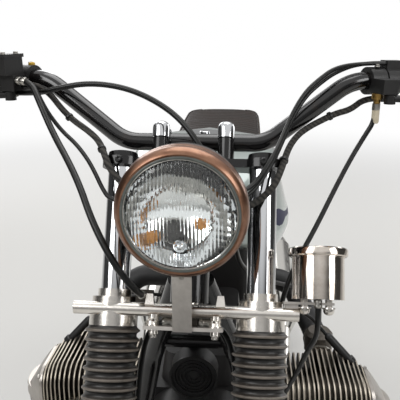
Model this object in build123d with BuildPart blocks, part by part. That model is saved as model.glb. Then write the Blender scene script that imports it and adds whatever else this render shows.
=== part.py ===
from build123d import *
from math import cos, radians, sin, tan
import os

os.makedirs("parts", exist_ok=True)

# A flat-twin custom roadster on its centre stand, in millimetres and degrees.
# +X is the rider's left, -Y is forward, +Z is up, and the floor is z = 0.
# The origin is on the floor, halfway between the two tyres' outer ends.

# Wheels and stance
wheelbase = 1465.0
front_tyre_radius = 331.0
front_tyre_width = 100.0
rear_tyre_radius = 325.0
rear_tyre_width = 112.0
rear_lift = 20.0

# Clearances
seat_gap = 0.2
face_gap = 0.3
running_gap = 0.08

# Fork and steering head
rake = 27.5
fork_spacing = 196.0
fork_setback = 35.0
steering_setback = 70.0
stanchion_radius = 19.25
slider_radius = 29.0
gaiter_radius = 36.0
slider_top = 240.0
lower_bridge_bottom = 498.0
lower_bridge_height = 17.0
upper_bridge_bottom = 700.0
upper_bridge_height = 12.0
head_tube_radius = 27.0
stem_radius = 13.0

# Handlebar, headlight and gauge
bar_radius = 12.7
bar_bore = 10.7
bar_half_length = 400.0
grip_radius = 17.0
riser_spacing = 92.0
riser_radius = 11.5
headlight_radius = 79.5
gauge_radius = 35.0
gauge_height = 62.0

# Engine
axle_to_cylinders = 599.5
cylinder_stagger = 17.0
cylinder_z = 392.0
crankcase_half_width = 105.0
fin_pitch = 10.0
fin_thickness = 2.6
barrel_radius = 56.0
barrel_length = 112.0
head_length = 108.0

# Frame and stand
frame_tube_radius = 16.0
rail_radius = 12.0
backbone_radius = 24.0
cradle_x = 125.0
cradle_z = 215.0
stand_leg_radius = 14.0

front_y = -(wheelbase + rear_tyre_radius - front_tyre_radius) / 2
rear_y = front_y + wheelbase
front_axle_centre = Vector(0, front_y, front_tyre_radius)
rear_axle_centre = Vector(0, rear_y, rear_tyre_radius + rear_lift)
cylinder_y = front_y + axle_to_cylinders

# The fork's own plane: local x is across, y is back and z runs up along the tubes.
fork = Plane(
    origin=front_axle_centre,
    x_dir=(1, 0, 0),
    z_dir=(0, sin(radians(rake)), cos(radians(rake))),
)
fork_x = fork_spacing / 2
tube_places = ((-fork_x, fork_setback), (fork_x, fork_setback))
sides = (1, -1)


def on_fork(across, back, along):
    """A point in the fork's own directions, from the front axle's centre."""
    return fork.from_local_coords((across, back, along))


def tube(points, radius, bends, bore=0.0):
    """A round tube along straight runs that tangent arcs join."""
    with BuildPart() as piece:
        with BuildLine() as route:
            FilletPolyline(*points, radius=bends)
        with BuildSketch(Plane(origin=route.line @ 0, z_dir=route.line % 0)):
            Circle(radius)
            if bore:
                Circle(bore, mode=Mode.SUBTRACT)
        sweep()
    return piece.part


def straight(start, end, radius):
    """A round bar between two points."""
    along = Vector(*end) - Vector(*start)
    with BuildPart() as piece:
        with BuildSketch(Plane(origin=start, z_dir=along)):
            Circle(radius)
        extrude(amount=along.length)
    return piece.part


def cable(name, points, radius):
    """A cable along its route, with each bend as easy as its two runs allow."""
    route = [Vector(*point) for point in points]
    bends = []
    for before, corner, after in zip(route, route[1:], route[2:]):
        turn = radians((corner - before).get_angle(after - corner))
        shorter = min((corner - before).length, (after - corner).length)
        bends.append(0.45 * shorter / tan(turn / 2))
    print(name, "bend radii", [round(bend) for bend in bends])
    return tube(route, radius, bends)


def cross_bar(half, y, z, radius):
    """A round bar along X across the centre plane."""
    return straight((-half, y, z), (half, y, z), radius)


# Wheels: a tyre, and a spoked rim with its hub, about an axle along X.
spoke_count = 36
spoke_radius = 2.0
axle_radius = 10.0
axle_bore = 6.0
rim_thickness = 3.3
rim_lip = 12.0
well_depth = 16.0
tread_depth = 13.0

# name, axle centre, tyre radius, tyre width, bead radius, rim half width,
# hub outline as (x, radius), then each side's flange as (x, radius)
wheels = (
    (
        "front", front_axle_centre, front_tyre_radius, front_tyre_width,
        front_tyre_radius - 89.7, front_tyre_width * 0.36,
        ((-52.3, 40), (-36, 40), (-33, 50), (-27, 50), (-24, 30),
         (24, 30), (27, 50), (33, 50), (36, 40), (52.3, 40)),
        ((-30, 46), (30, 46)),
    ),
    (
        "rear", rear_axle_centre, rear_tyre_radius, rear_tyre_width,
        rear_tyre_radius - 96.4, rear_tyre_width * 0.36,
        ((-46, 100), (-40, 106), (-33, 106), (-28, 98), (-22, 60), (-10, 34),
         (24, 34), (29, 54), (35, 54), (38, 42), (50, 42)),
        ((-36.5, 102), (32, 50)),
    ),
)


def spokes(centre, bead, flange):
    """Planes that look along one side's crossed spokes, and the spokes' length."""
    flange_x, flange_radius = flange
    rim_radius = bead - well_depth + 4
    planes = []
    for number in range(spoke_count // 2):
        lead = 1 if number % 2 else -1
        rim_angle = radians((number + 0.25 * (1 if flange_x > 0 else -1)) * 720 / spoke_count)
        hub_angle = rim_angle + radians(lead * 48)
        hub_point = centre + Vector(
            flange_x + lead * 1.5,
            flange_radius * cos(hub_angle),
            flange_radius * sin(hub_angle),
        )
        rim_point = centre + Vector(
            flange_x * 0.25,
            rim_radius * cos(rim_angle),
            rim_radius * sin(rim_angle),
        )
        length = (rim_point - hub_point).length
        planes.append(Plane(origin=hub_point, z_dir=rim_point - hub_point))
    return planes, length


for name, centre, radius, width, bead, rim_half, hub, flanges in wheels:
    section = Plane(origin=centre, x_dir=(1, 0, 0), z_dir=(0, 0, 1))
    axis = Axis(centre, (1, 0, 0))
    seat = bead + rim_thickness + seat_gap
    bead_half = rim_half - rim_thickness - seat_gap
    tread_half = width * 0.36
    shoulder = radius - tread_depth
    bulge = bead + (radius - bead) * 0.52

    with BuildPart() as tyre:
        with BuildSketch(section):
            with BuildLine():
                Line((bead_half, seat), (-bead_half, seat))
                Line((-bead_half, seat), (-bead_half, bead + rim_lip))
                ThreePointArc(
                    (-bead_half, bead + rim_lip), (-width / 2, bulge), (-tread_half, shoulder)
                )
                ThreePointArc((-tread_half, shoulder), (0, radius), (tread_half, shoulder))
                ThreePointArc(
                    (tread_half, shoulder), (width / 2, bulge), (bead_half, bead + rim_lip)
                )
                Line((bead_half, bead + rim_lip), (bead_half, seat))
            make_face()
        revolve(axis=axis)
    tyre.part.label = f"{name}_tyre"
    export_step(tyre.part, f"parts/{name}_tyre.step")

    rim_outline = (
        (-rim_half, bead + rim_lip), (-rim_half, bead - 2), (-rim_half + 12, bead - 5),
        (-15, bead - well_depth), (15, bead - well_depth), (rim_half - 12, bead - 5),
        (rim_half, bead - 2), (rim_half, bead + rim_lip),
        (rim_half - rim_thickness, bead + rim_lip), (rim_half - rim_thickness, bead + rim_thickness),
        (-rim_half + rim_thickness, bead + rim_thickness),
        (-rim_half + rim_thickness, bead + rim_lip),
    )
    bore = axle_radius + running_gap
    hub_outline = ((hub[0][0], bore),) + hub + ((hub[-1][0], bore),)
    with BuildPart() as spoked_wheel:
        for outline in (rim_outline, hub_outline):
            with BuildSketch(section):
                with BuildLine():
                    Polyline(*outline, close=True)
                make_face()
            revolve(axis=axis)
        for flange in flanges:
            planes, spoke_length = spokes(centre, bead, flange)
            with BuildSketch(*planes):
                RegularPolygon(spoke_radius, 6)
            extrude(amount=spoke_length)
    spoked_wheel.part.label = f"{name}_wheel"
    export_step(spoked_wheel.part, f"parts/{name}_wheel.step")


# Two dished brake discs, bolted to the ends of the front hub.
disc_x = 56.0
disc_thickness = 5.0
disc_radius = 132.0
hub_end = 52.5
disc_profile = (
    (hub_end, 26), (hub_end, 96), (disc_x, 100), (disc_x, disc_radius),
    (disc_x + disc_thickness, disc_radius), (disc_x + disc_thickness, 94), (hub_end + 4.5, 90),
    (hub_end + 4.5, 26),
)
with BuildPart() as front_discs:
    with BuildSketch(Plane(origin=front_axle_centre, x_dir=(1, 0, 0), z_dir=(0, 0, 1))):
        for side in sides:
            with BuildLine():
                Polyline(*((side * x, r) for x, r in disc_profile), close=True)
            make_face()
    revolve(axis=Axis(front_axle_centre, (1, 0, 0)))
front_discs.part.label = "front_brake_discs"
export_step(front_discs.part, "parts/front_brake_discs.step")

# Front axle with its two spacers, between lugs that stand ahead of the sliders.
lug_inner = fork_x - 28.5
lug_outer = fork_x + 17.0
axle_end = lug_outer + 9.0
nut_thickness = 8.0
spacer_end = lug_inner - 0.7
with BuildPart() as front_axle:
    with BuildSketch(Plane.YZ.offset(-axle_end + 2)):
        with Locations((front_y, front_tyre_radius)):
            Circle(axle_radius)
    extrude(amount=2 * axle_end - 4)
    for start in (-spacer_end, hub_end + 5.8):
        with BuildSketch(Plane.YZ.offset(start)):
            with Locations((front_y, front_tyre_radius)):
                Circle(15)
        extrude(amount=spacer_end - hub_end - 5.8)
    for start in (-axle_end, axle_end - nut_thickness):
        with BuildSketch(Plane.YZ.offset(start)):
            with Locations((front_y, front_tyre_radius)):
                RegularPolygon(12, 6)
        extrude(amount=nut_thickness)
    with BuildSketch(Plane.YZ.offset(-axle_end)):
        with Locations((front_y, front_tyre_radius)):
            Circle(axle_bore)
    extrude(amount=2 * axle_end, mode=Mode.SUBTRACT)
front_axle.part.label = "front_axle"
export_step(front_axle.part, "parts/front_axle.step")

# Fork tubes: two chromed stanchions.
stanchion_foot = 110.0
with BuildPart() as fork_tubes:
    with BuildSketch(fork.offset(stanchion_foot)):
        with Locations(*tube_places):
            Circle(stanchion_radius)
    extrude(amount=upper_bridge_bottom + upper_bridge_height - seat_gap - stanchion_foot)
fork_tubes.part.label = "fork_tubes"
export_step(fork_tubes.part, "parts/fork_tubes.step")

# Fork sliders: cast legs with the axle's lugs ahead of them and the calipers' lugs behind.
caliper_back = 104.0
caliper_along = 58.0
caliper_outer = disc_x + disc_thickness + 18.0
with BuildPart() as fork_sliders:
    with BuildSketch(fork.offset(-22)):
        with Locations(*tube_places):
            Circle(slider_radius)
    extrude(amount=slider_top + 22)
    with BuildSketch(fork.offset(-22)):
        with Locations((-fork_x, 10), (fork_x, 10)):
            Rectangle(32, 44)
    extrude(amount=44)
    for level in (60, 150):
        with BuildSketch(fork.offset(level)):
            with Locations(*tube_places):
                Circle(slider_radius + 3)
        extrude(amount=8)
    for side in sides:
        with BuildSketch(Plane(origin=on_fork(side * (lug_inner + 12.5), 0, 0), z_dir=(side, 0, 0))):
            Circle(23)
        extrude(amount=lug_outer - lug_inner - 12.5)
        with BuildSketch(Plane(origin=on_fork(side * lug_inner, 0, 0), z_dir=(side, 0, 0))):
            Circle(axle_radius + seat_gap)
        extrude(amount=60, mode=Mode.SUBTRACT)
        lug_face = Plane(
            origin=on_fork(side * (caliper_outer + face_gap), 0, 0),
            x_dir=fork.y_dir,
            z_dir=(1, 0, 0),
        )
        with BuildSketch(lug_face):
            with Locations((caliper_back - 31, caliper_along)):
                Rectangle(46, 48)
        extrude(amount=side * 13)
    with BuildSketch(fork.offset(stanchion_foot - 2)):
        with Locations(*tube_places):
            Circle(stanchion_radius + seat_gap)
    extrude(amount=slider_top, mode=Mode.SUBTRACT)
fork_sliders.part.label = "fork_sliders"
export_step(fork_sliders.part, "parts/fork_sliders.step")

# Brake calipers: each straddles its disc behind the fork leg.
pad_clearance = 5.0
caliper_inner = disc_x - pad_clearance - 11.0
caliper_length = 92.0
with BuildPart() as calipers:
    for side in sides:
        inner_face = Plane(
            origin=on_fork(side * caliper_inner, 0, 0), x_dir=fork.y_dir, z_dir=(1, 0, 0)
        )
        with BuildSketch(inner_face):
            with Locations((caliper_back, caliper_along)):
                RectangleRounded(58, caliper_length, 14)
        extrude(amount=side * (caliper_outer - caliper_inner))
        with BuildSketch(inner_face.offset(side * (disc_x - pad_clearance - caliper_inner))):
            Circle(disc_radius + 9)
        extrude(amount=side * (disc_thickness + 2 * pad_clearance), mode=Mode.SUBTRACT)
calipers.part.label = "brake_calipers"
export_step(calipers.part, "parts/brake_calipers.step")

# Ribbed rubber gaiters between the sliders and the lower bridge.
gaiter_bottom = slider_top - 14.0
gaiter_top = lower_bridge_bottom - 14.0
rib_pitch = 12.3
gaiter_bore = slider_radius + seat_gap
gaiter_wall = 3.0
gaiter_cuff = 12.0
rib_count = int((gaiter_top - gaiter_bottom - gaiter_cuff - 2) / rib_pitch)
first_rib = gaiter_bottom + gaiter_cuff
gaiter_outline = [(gaiter_bore, gaiter_bottom), (gaiter_bore + gaiter_wall, gaiter_bottom)]
for rib in range(rib_count):
    gaiter_outline.append((gaiter_bore + gaiter_wall, first_rib + rib * rib_pitch))
    gaiter_outline.append((gaiter_radius, first_rib + (rib + 0.5) * rib_pitch))
gaiter_outline.append((gaiter_bore + gaiter_wall, first_rib + rib_count * rib_pitch))
gaiter_outline.append((gaiter_bore + gaiter_wall, gaiter_top))
gaiter_outline.append((gaiter_bore, gaiter_top))
with BuildPart() as fork_gaiters:
    for side in sides:
        base = on_fork(side * fork_x, fork_setback, 0)
        with BuildSketch(Plane(origin=base, x_dir=(1, 0, 0), z_dir=-fork.y_dir)):
            with BuildLine():
                Polyline(*gaiter_outline, close=True)
            make_face()
        revolve(axis=Axis(base, fork.z_dir))
fork_gaiters.part.label = "fork_gaiters"
export_step(fork_gaiters.part, "parts/fork_gaiters.step")

# Lower bridge: a cast plate, a round-faced bar along its front edge, the tube clamps,
# four bolt heads and the steering stem.
bar_back = 12.0
bridge_top = lower_bridge_bottom + lower_bridge_height
ear_x = fork_x + 48.0
lug_x = riser_spacing / 2
front_bar = on_fork(0, bar_back, lower_bridge_bottom + lower_bridge_height / 2)
with BuildPart() as lower_bridge:
    with BuildSketch(fork.offset(lower_bridge_bottom)):
        with Locations(*tube_places):
            Circle(31)
        with Locations((0, steering_setback)):
            Circle(30)
        with Locations((0, fork_setback - 9)):
            Rectangle(fork_spacing, 30)
        with Locations((0, steering_setback - 22)):
            Rectangle(110, 34)
        with Locations((-ear_x + 20, 22), (ear_x - 20, 22)):
            Rectangle(36, 24)
    extrude(amount=lower_bridge_height)
    with BuildSketch(Plane.YZ.offset(-ear_x)):
        with Locations((front_bar.Y, front_bar.Z)):
            Circle(lower_bridge_height / 2)
    extrude(amount=2 * ear_x)
    # radius, start, height of the steps of each tube clamp
    for clamp_radius, start, height in (
        (32, gaiter_top + seat_gap, lower_bridge_bottom - gaiter_top),
        (29.5, bridge_top - 1, 8),
        (22.5, bridge_top + 6, 11),
    ):
        with BuildSketch(fork.offset(start)):
            with Locations(*tube_places):
                Circle(clamp_radius)
        extrude(amount=height)
    with BuildSketch(fork.offset(bridge_top - 2)):
        with Locations((-lug_x, 10), (lug_x, 10)):
            Rectangle(12, 12)
    extrude(amount=14, taper=8)
    with BuildSketch(fork.offset(lower_bridge_bottom - 11)):
        with Locations((-lug_x + 6, 8), (lug_x - 6, 8)):
            Circle(7)
    extrude(amount=14)
    with BuildSketch(fork.offset(gaiter_top - 4)):
        with Locations(*tube_places):
            Circle(stanchion_radius + seat_gap)
    extrude(amount=60, mode=Mode.SUBTRACT)
    with BuildSketch(fork.offset(lower_bridge_bottom)):
        with Locations((0, steering_setback)):
            Circle(stem_radius)
    extrude(amount=upper_bridge_bottom - lower_bridge_bottom)
lower_bridge.part.label = "lower_bridge"
export_step(lower_bridge.part, "parts/lower_bridge.step")

# Upper bridge: a thin black plate with its tube clamps, the tubes' caps and the stem nut.
riser_bottom = upper_bridge_bottom + upper_bridge_height
with BuildPart() as upper_bridge:
    with BuildSketch(fork.offset(upper_bridge_bottom)):
        with Locations(*tube_places):
            Circle(28)
        with Locations((0, steering_setback)):
            Circle(26)
        with Locations((0, fork_setback)):
            Rectangle(fork_spacing, 34)
        with Locations((0, steering_setback - 18)):
            Rectangle(100, 24)
        with Locations(*tube_places):
            Circle(stanchion_radius + seat_gap, mode=Mode.SUBTRACT)
    extrude(amount=upper_bridge_height)
    with BuildSketch(fork.offset(riser_bottom)):
        with Locations(*tube_places):
            Circle(stanchion_radius + 3)
    extrude(amount=9, taper=12)
    with BuildSketch(fork.offset(riser_bottom)):
        with Locations((0, steering_setback)):
            RegularPolygon(17, 6)
    extrude(amount=9)
upper_bridge.part.label = "upper_bridge"
export_step(upper_bridge.part, "parts/upper_bridge.step")

# Handlebar: a high bar with a flat centre, rising and sweeping back to each grip.
bar_centre_back = fork_setback + riser_radius + bar_radius + 1
bar_centre_along = riser_bottom + 34.0


def bar_corners(side):
    """One half of the bar: its end, its outer bend, its inner bend and its middle."""
    return (
        on_fork(side * bar_half_length, 118, bar_centre_along + 122),
        on_fork(side * 222, 50, bar_centre_along + 92),
        on_fork(side * 102, bar_centre_back, bar_centre_along),
        on_fork(0, bar_centre_back, bar_centre_along),
    )


bar_halves = [tube(bar_corners(side), bar_radius, [70, 60], bar_bore) for side in sides]
with BuildPart() as handlebar:
    for piece in bar_halves:
        add(piece)
handlebar.part.label = "handlebar"
export_step(handlebar.part, "parts/handlebar.step")


def bar_frame(side):
    """A bar end, the way inboard along it, and the level way forward from it."""
    end, bend = bar_corners(side)[:2]
    inboard = (bend - end).normalized()
    forward = Vector(-side * inboard.Y, side * inboard.X, 0).normalized()
    return end, inboard, forward


def across_bar(side, inboard):
    """A plane across the bar that looks inboard; x is forward, y is up times side."""
    end, along, ahead = bar_frame(side)
    return Plane(origin=end + along * inboard, x_dir=ahead, z_dir=along)


def beside_bar(side, inboard, forward, up):
    """A point near a bar end: so far in from it, ahead of it and above it."""
    return across_bar(side, inboard).from_local_coords((forward, side * up, 0))


# Risers: two black pillars on the upper bridge that clamp the bar behind them.
riser_height = 48.0
clamp_half = 11.0
riser_places = ((-riser_spacing / 2, fork_setback), (riser_spacing / 2, fork_setback))
with BuildPart() as risers:
    with BuildSketch(fork.offset(riser_bottom)):
        with Locations(*riser_places):
            Circle(riser_radius)
    extrude(amount=riser_height)
    for side in sides:
        clamp_face = Plane(
            origin=on_fork(side * riser_spacing / 2 - clamp_half, bar_centre_back, bar_centre_along),
            x_dir=fork.y_dir,
            z_dir=(1, 0, 0),
        )
        with BuildSketch(clamp_face):
            Circle(bar_radius + 6)
            with Locations((-16, 0)):
                Rectangle(18, 22)
        extrude(amount=2 * clamp_half)
        with BuildSketch(clamp_face):
            Circle(bar_radius + seat_gap)
        extrude(amount=2 * clamp_half, mode=Mode.SUBTRACT)
risers.part.label = "risers"
export_step(risers.part, "parts/risers.step")

# Polished domed caps on the pillars.
cap_band = 14.0
cap_dome = 8.0
riser_cap_radius = riser_radius + 0.5
with BuildPart() as riser_caps:
    with BuildSketch(fork.offset(riser_bottom + riser_height)):
        with Locations(*riser_places):
            Circle(riser_cap_radius)
    extrude(amount=cap_band)
    for side in sides:
        dome_base = on_fork(side * riser_spacing / 2, fork_setback, riser_bottom + riser_height + cap_band)
        with BuildSketch(Plane(origin=dome_base, x_dir=(1, 0, 0), z_dir=-fork.y_dir)):
            with BuildLine():
                Polyline((0, cap_dome), (0, 0), (riser_cap_radius, 0))
                ThreePointArc(
                    (riser_cap_radius, 0), (riser_cap_radius * 0.7, cap_dome * 0.7), (0, cap_dome)
                )
            make_face()
        revolve(axis=Axis(dome_base, fork.z_dir))
riser_caps.part.label = "riser_caps"
export_step(riser_caps.part, "parts/riser_caps.step")

# Rubber grips on the bar's ends.
grip_length = 115.0
grip_lip = 3.0
with BuildPart() as grips:
    for side in sides:
        with BuildSketch(across_bar(side, -grip_lip)):
            Circle(grip_radius)
            Circle(bar_radius + seat_gap, mode=Mode.SUBTRACT)
        extrude(amount=grip_length)
grips.part.label = "grips"
export_step(grips.part, "parts/grips.step")

# Clamped housings inboard of the grips: the throttle's on the right, the switches' on the left.
housing_start = grip_length - grip_lip + 1
housing_length = 28.0
housing_radius = 19.0
wire_up = 25.0
# side, (forward, up, width, height) of each lug that a cable leaves
housing_lugs = ((1, ((0, wire_up - 4, 18, 16), (-4, -23, 16, 15))), (-1, ((22, -19, 16, 16),)))
with BuildPart() as bar_housings:
    for side, lugs in housing_lugs:
        with BuildSketch(across_bar(side, housing_start)):
            Circle(housing_radius)
            for forward, up, lug_width, lug_height in lugs:
                with Locations((forward, side * up)):
                    Rectangle(lug_width, lug_height)
                with Locations((forward / 2, side * up / 2)):
                    Rectangle(lug_width, lug_height)
            Circle(bar_radius + seat_gap, mode=Mode.SUBTRACT)
        extrude(amount=housing_length)
bar_housings.part.label = "bar_housings"
export_step(bar_housings.part, "parts/bar_housings.step")

# Lever perches: collars with a block ahead; the right one carries the brake's cylinder.
perch_start = housing_start + housing_length + 3
perch_length = 24.0
perch_end = perch_start + perch_length
block_start = 12.0
perch_bottom = -15.0
block_ends = {1: 44.0, -1: 20.8}
with BuildPart() as perches:
    for side in sides:
        with BuildSketch(across_bar(side, perch_start)):
            Circle(bar_radius + 7)
            with Locations(((block_start + block_ends[side]) / 2, side * (perch_bottom + 10))):
                Rectangle(block_ends[side] - block_start, 20)
            Circle(bar_radius + seat_gap, mode=Mode.SUBTRACT)
        extrude(amount=perch_length)
perches.part.label = "lever_perches"
export_step(perches.part, "parts/lever_perches.step")

# Brake cylinder with its square fluid reservoir and lid, ahead of the right perch.
reservoir_back = block_ends[-1] + seat_gap
reservoir_depth = 36.0
reservoir_start = perch_end - 62.0
with BuildPart() as reservoir:
    with BuildSketch(across_bar(-1, perch_end - 26)):
        with Locations((reservoir_back + 12.5, 3.5)):
            Rectangle(25, 23)
    extrude(amount=26)
    with BuildSketch(across_bar(-1, reservoir_start)):
        with Locations((reservoir_back + reservoir_depth / 2, -20.5)):
            Rectangle(reservoir_depth, 25)
    extrude(amount=60)
    with BuildSketch(across_bar(-1, reservoir_start - 2)):
        with Locations((reservoir_back + reservoir_depth / 2, -35)):
            Rectangle(reservoir_depth + 3, 5)
    extrude(amount=64)
reservoir.part.label = "brake_reservoir"
export_step(reservoir.part, "parts/brake_reservoir.step")

# Levers: a pivot boss under each perch, a bowed blade ahead of the grip and a round end.
lever_up = -21.0
lever_radius = 5.0
pivot_inboard = perch_start + 6
# inboard, forward
lever_route = ((pivot_inboard, 36), (128, 54), (72, 66), (14, 60), (-14, 64))
lever_blades = []
for side in sides:
    lever_points = [beside_bar(side, inboard, forward, lever_up) for inboard, forward in lever_route]
    lever_blades.append(tube(lever_points, lever_radius, [25, 60, 90]))
with BuildPart() as levers:
    for piece in lever_blades:
        add(piece)
    for side in sides:
        pivot_foot = lever_up - 8
        with BuildSketch(Plane(origin=beside_bar(side, pivot_inboard, 36, pivot_foot), z_dir=(0, 0, 1))):
            Circle(8)
        extrude(amount=perch_bottom - face_gap - 0.8 - pivot_foot)
        with BuildSketch(Plane(origin=beside_bar(side, -14, 64, lever_up - 6.5), z_dir=(0, 0, 1))):
            Circle(8)
        extrude(amount=13)
levers.part.label = "levers"
export_step(levers.part, "parts/levers.step")

# Headlight: a round shell with two wire bosses, a copper ring, the glass and the reflector.
headlight_back = -86.1
headlight_along = 619.2
ring_lip = 12.0
shell_depth = 95.0
wire_radius = 3.0
loom_radius = 4.5
lamp_centre = on_fork(0, headlight_back, headlight_along)
lamp_section = Plane(origin=lamp_centre, x_dir=(1, 0, 0), z_dir=(0, 0, 1))
lamp_axis = Axis(lamp_centre, (0, 1, 0))
shell_radius = headlight_radius - 4
boss_way = Vector(0.75, 0.66, 0).normalized()


def beside_lamp(side, level, out):
    """A point on one wire boss of the shell, at a level and so far out from its face."""
    face = Vector(side * 62.5, 72, level - 8)
    return lamp_centre + face + Vector(side * boss_way.X, boss_way.Y, 0) * out


with BuildPart() as headlight_shell:
    with BuildSketch(lamp_section):
        with BuildLine():
            Line((shell_radius, 8), (shell_radius, 40))
            ThreePointArc((shell_radius, 40), (shell_radius * 0.75, shell_depth - 20), (12, shell_depth))
            Line((12, shell_depth), (0, shell_depth))
            Line((0, shell_depth), (0, shell_depth - 3))
            Line((0, shell_depth - 3), (11, shell_depth - 3))
            ThreePointArc(
                (11, shell_depth - 3), (shell_radius * 0.75 - 2.2, shell_depth - 22.2),
                (shell_radius - 3, 40),
            )
            Line((shell_radius - 3, 40), (shell_radius - 3, 8))
            Line((shell_radius - 3, 8), (shell_radius, 8))
        make_face()
    revolve(axis=lamp_axis)
    for side in sides:
        with BuildSketch(Plane(
            origin=beside_lamp(side, 0, -14), x_dir=(0, 0, 1), z_dir=(side * boss_way.X, boss_way.Y, 0)
        )):
            RectangleRounded(38, 16, 7)
        extrude(amount=14)
headlight_shell.part.label = "headlight_shell"
export_step(headlight_shell.part, "parts/headlight_shell.step")

ring_inner = headlight_radius - ring_lip
with BuildPart() as headlight_ring:
    with BuildSketch(lamp_section):
        with BuildLine():
            Line((headlight_radius - 3, 8), (headlight_radius, 4))
            ThreePointArc(
                (headlight_radius, 4), (headlight_radius - 1.5, -6), (headlight_radius - 7, -12)
            )
            Line((headlight_radius - 7, -12), (ring_inner, -10))
            Line((ring_inner, -10), (ring_inner, 8))
            Line((ring_inner, 8), (headlight_radius - 3, 8))
        make_face()
    revolve(axis=lamp_axis)
headlight_ring.part.label = "headlight_ring"
export_step(headlight_ring.part, "parts/headlight_ring.step")

glass_radius = ring_inner - seat_gap
with BuildPart() as headlight_glass:
    with BuildSketch(lamp_section):
        with BuildLine():
            Line((glass_radius, -4), (glass_radius, -7))
            ThreePointArc((glass_radius, -7), (glass_radius * 0.6, -17), (8, -21))
            Line((8, -21), (0, -21))
            Line((0, -21), (0, -18))
            Line((0, -18), (8, -18))
            ThreePointArc((8, -18), (glass_radius * 0.6, -14), (glass_radius, -4))
        make_face()
    revolve(axis=lamp_axis)
headlight_glass.part.label = "headlight_glass"
export_step(headlight_glass.part, "parts/headlight_glass.step")

with BuildPart() as headlight_reflector:
    with BuildSketch(lamp_section):
        with BuildLine():
            Line((glass_radius, 2), (glass_radius, -3.6))
            Line((glass_radius, -3.6), (glass_radius - 2, -3.6))
            ThreePointArc((glass_radius - 2, -3.6), (glass_radius * 0.62, 28), (12, 44))
            Line((12, 44), (0, 44))
            Line((0, 44), (0, 47))
            Line((0, 47), (13, 47))
            ThreePointArc((13, 47), (glass_radius * 0.65, 30), (glass_radius, 2))
        make_face()
    revolve(axis=lamp_axis)
headlight_reflector.part.label = "headlight_reflector"
export_step(headlight_reflector.part, "parts/headlight_reflector.step")

# Headlight bracket: a base plate under the lower bridge and a strip up to the ring.
plate_thickness = 4.6
plate_along = lower_bridge_bottom - 11.0 - face_gap - plate_thickness
plate_depth = 36.0
plate_middle = 4.0
strip_width = 24.0
plate_front = on_fork(0, plate_middle - plate_depth / 2, plate_along)
strip_top = lamp_centre.Z - headlight_radius - 0.5
with BuildPart() as headlight_bracket:
    with BuildSketch(fork.offset(plate_along)):
        with Locations((0, plate_middle)):
            Rectangle(riser_spacing + 8, plate_depth)
    extrude(amount=plate_thickness)
    with BuildSketch(Plane(origin=(0, plate_front.Y, 0), x_dir=(1, 0, 0), z_dir=(0, -1, 0))):
        with Locations((0, (plate_front.Z + strip_top) / 2)):
            Rectangle(strip_width, strip_top - plate_front.Z)
    extrude(amount=3)
headlight_bracket.part.label = "headlight_bracket"
export_step(headlight_bracket.part, "parts/headlight_bracket.step")

# Gauge: a polished cup beside the lower bridge, with its dial facing the rider.
gauge_place = (ear_x + 24.0, bar_back)
gauge_bottom = bridge_top + 12.0
bezel_height = 9.0
glass_drop = 2.0
shelf_thickness = 3.0
shelf_along = gauge_bottom - 4 - shelf_thickness
with BuildPart() as gauge:
    with BuildSketch(fork.offset(gauge_bottom)):
        with Locations(gauge_place):
            Circle(gauge_radius - 1.5)
    extrude(amount=gauge_height)
    with BuildSketch(fork.offset(gauge_bottom + gauge_height - bezel_height)):
        with Locations(gauge_place):
            Circle(gauge_radius)
    extrude(amount=bezel_height)
    with BuildSketch(fork.offset(gauge_bottom + gauge_height - glass_drop)):
        with Locations(gauge_place):
            Circle(gauge_radius - 4)
    extrude(amount=glass_drop, mode=Mode.SUBTRACT)
gauge.part.label = "gauge"
export_step(gauge.part, "parts/gauge.step")

# Its bracket: a lug on the bridge's end, a shelf and two acorn nuts, open for the cable.
with BuildPart() as gauge_bracket:
    with BuildSketch(fork.offset(shelf_along)):
        with Locations((gauge_place[0] - 12, gauge_place[1] + 4)):
            Rectangle(64, 22)
        with Locations(gauge_place):
            Circle(8, mode=Mode.SUBTRACT)
    extrude(amount=shelf_thickness)
    with BuildSketch(fork.offset(bridge_top)):
        with Locations((ear_x - 9, gauge_place[1] + 8)):
            Rectangle(16, 18)
    extrude(amount=shelf_along - bridge_top + shelf_thickness)
    with BuildSketch(fork.offset(shelf_along - 7)):
        with Locations((gauge_place[0] - 17, gauge_place[1] + 2), (gauge_place[0] + 14, gauge_place[1] + 2)):
            Circle(4.5)
    extrude(amount=gauge_bottom - seat_gap - shelf_along + 7)
gauge_bracket.part.label = "gauge_bracket"
export_step(gauge_bracket.part, "parts/gauge_bracket.step")

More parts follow.
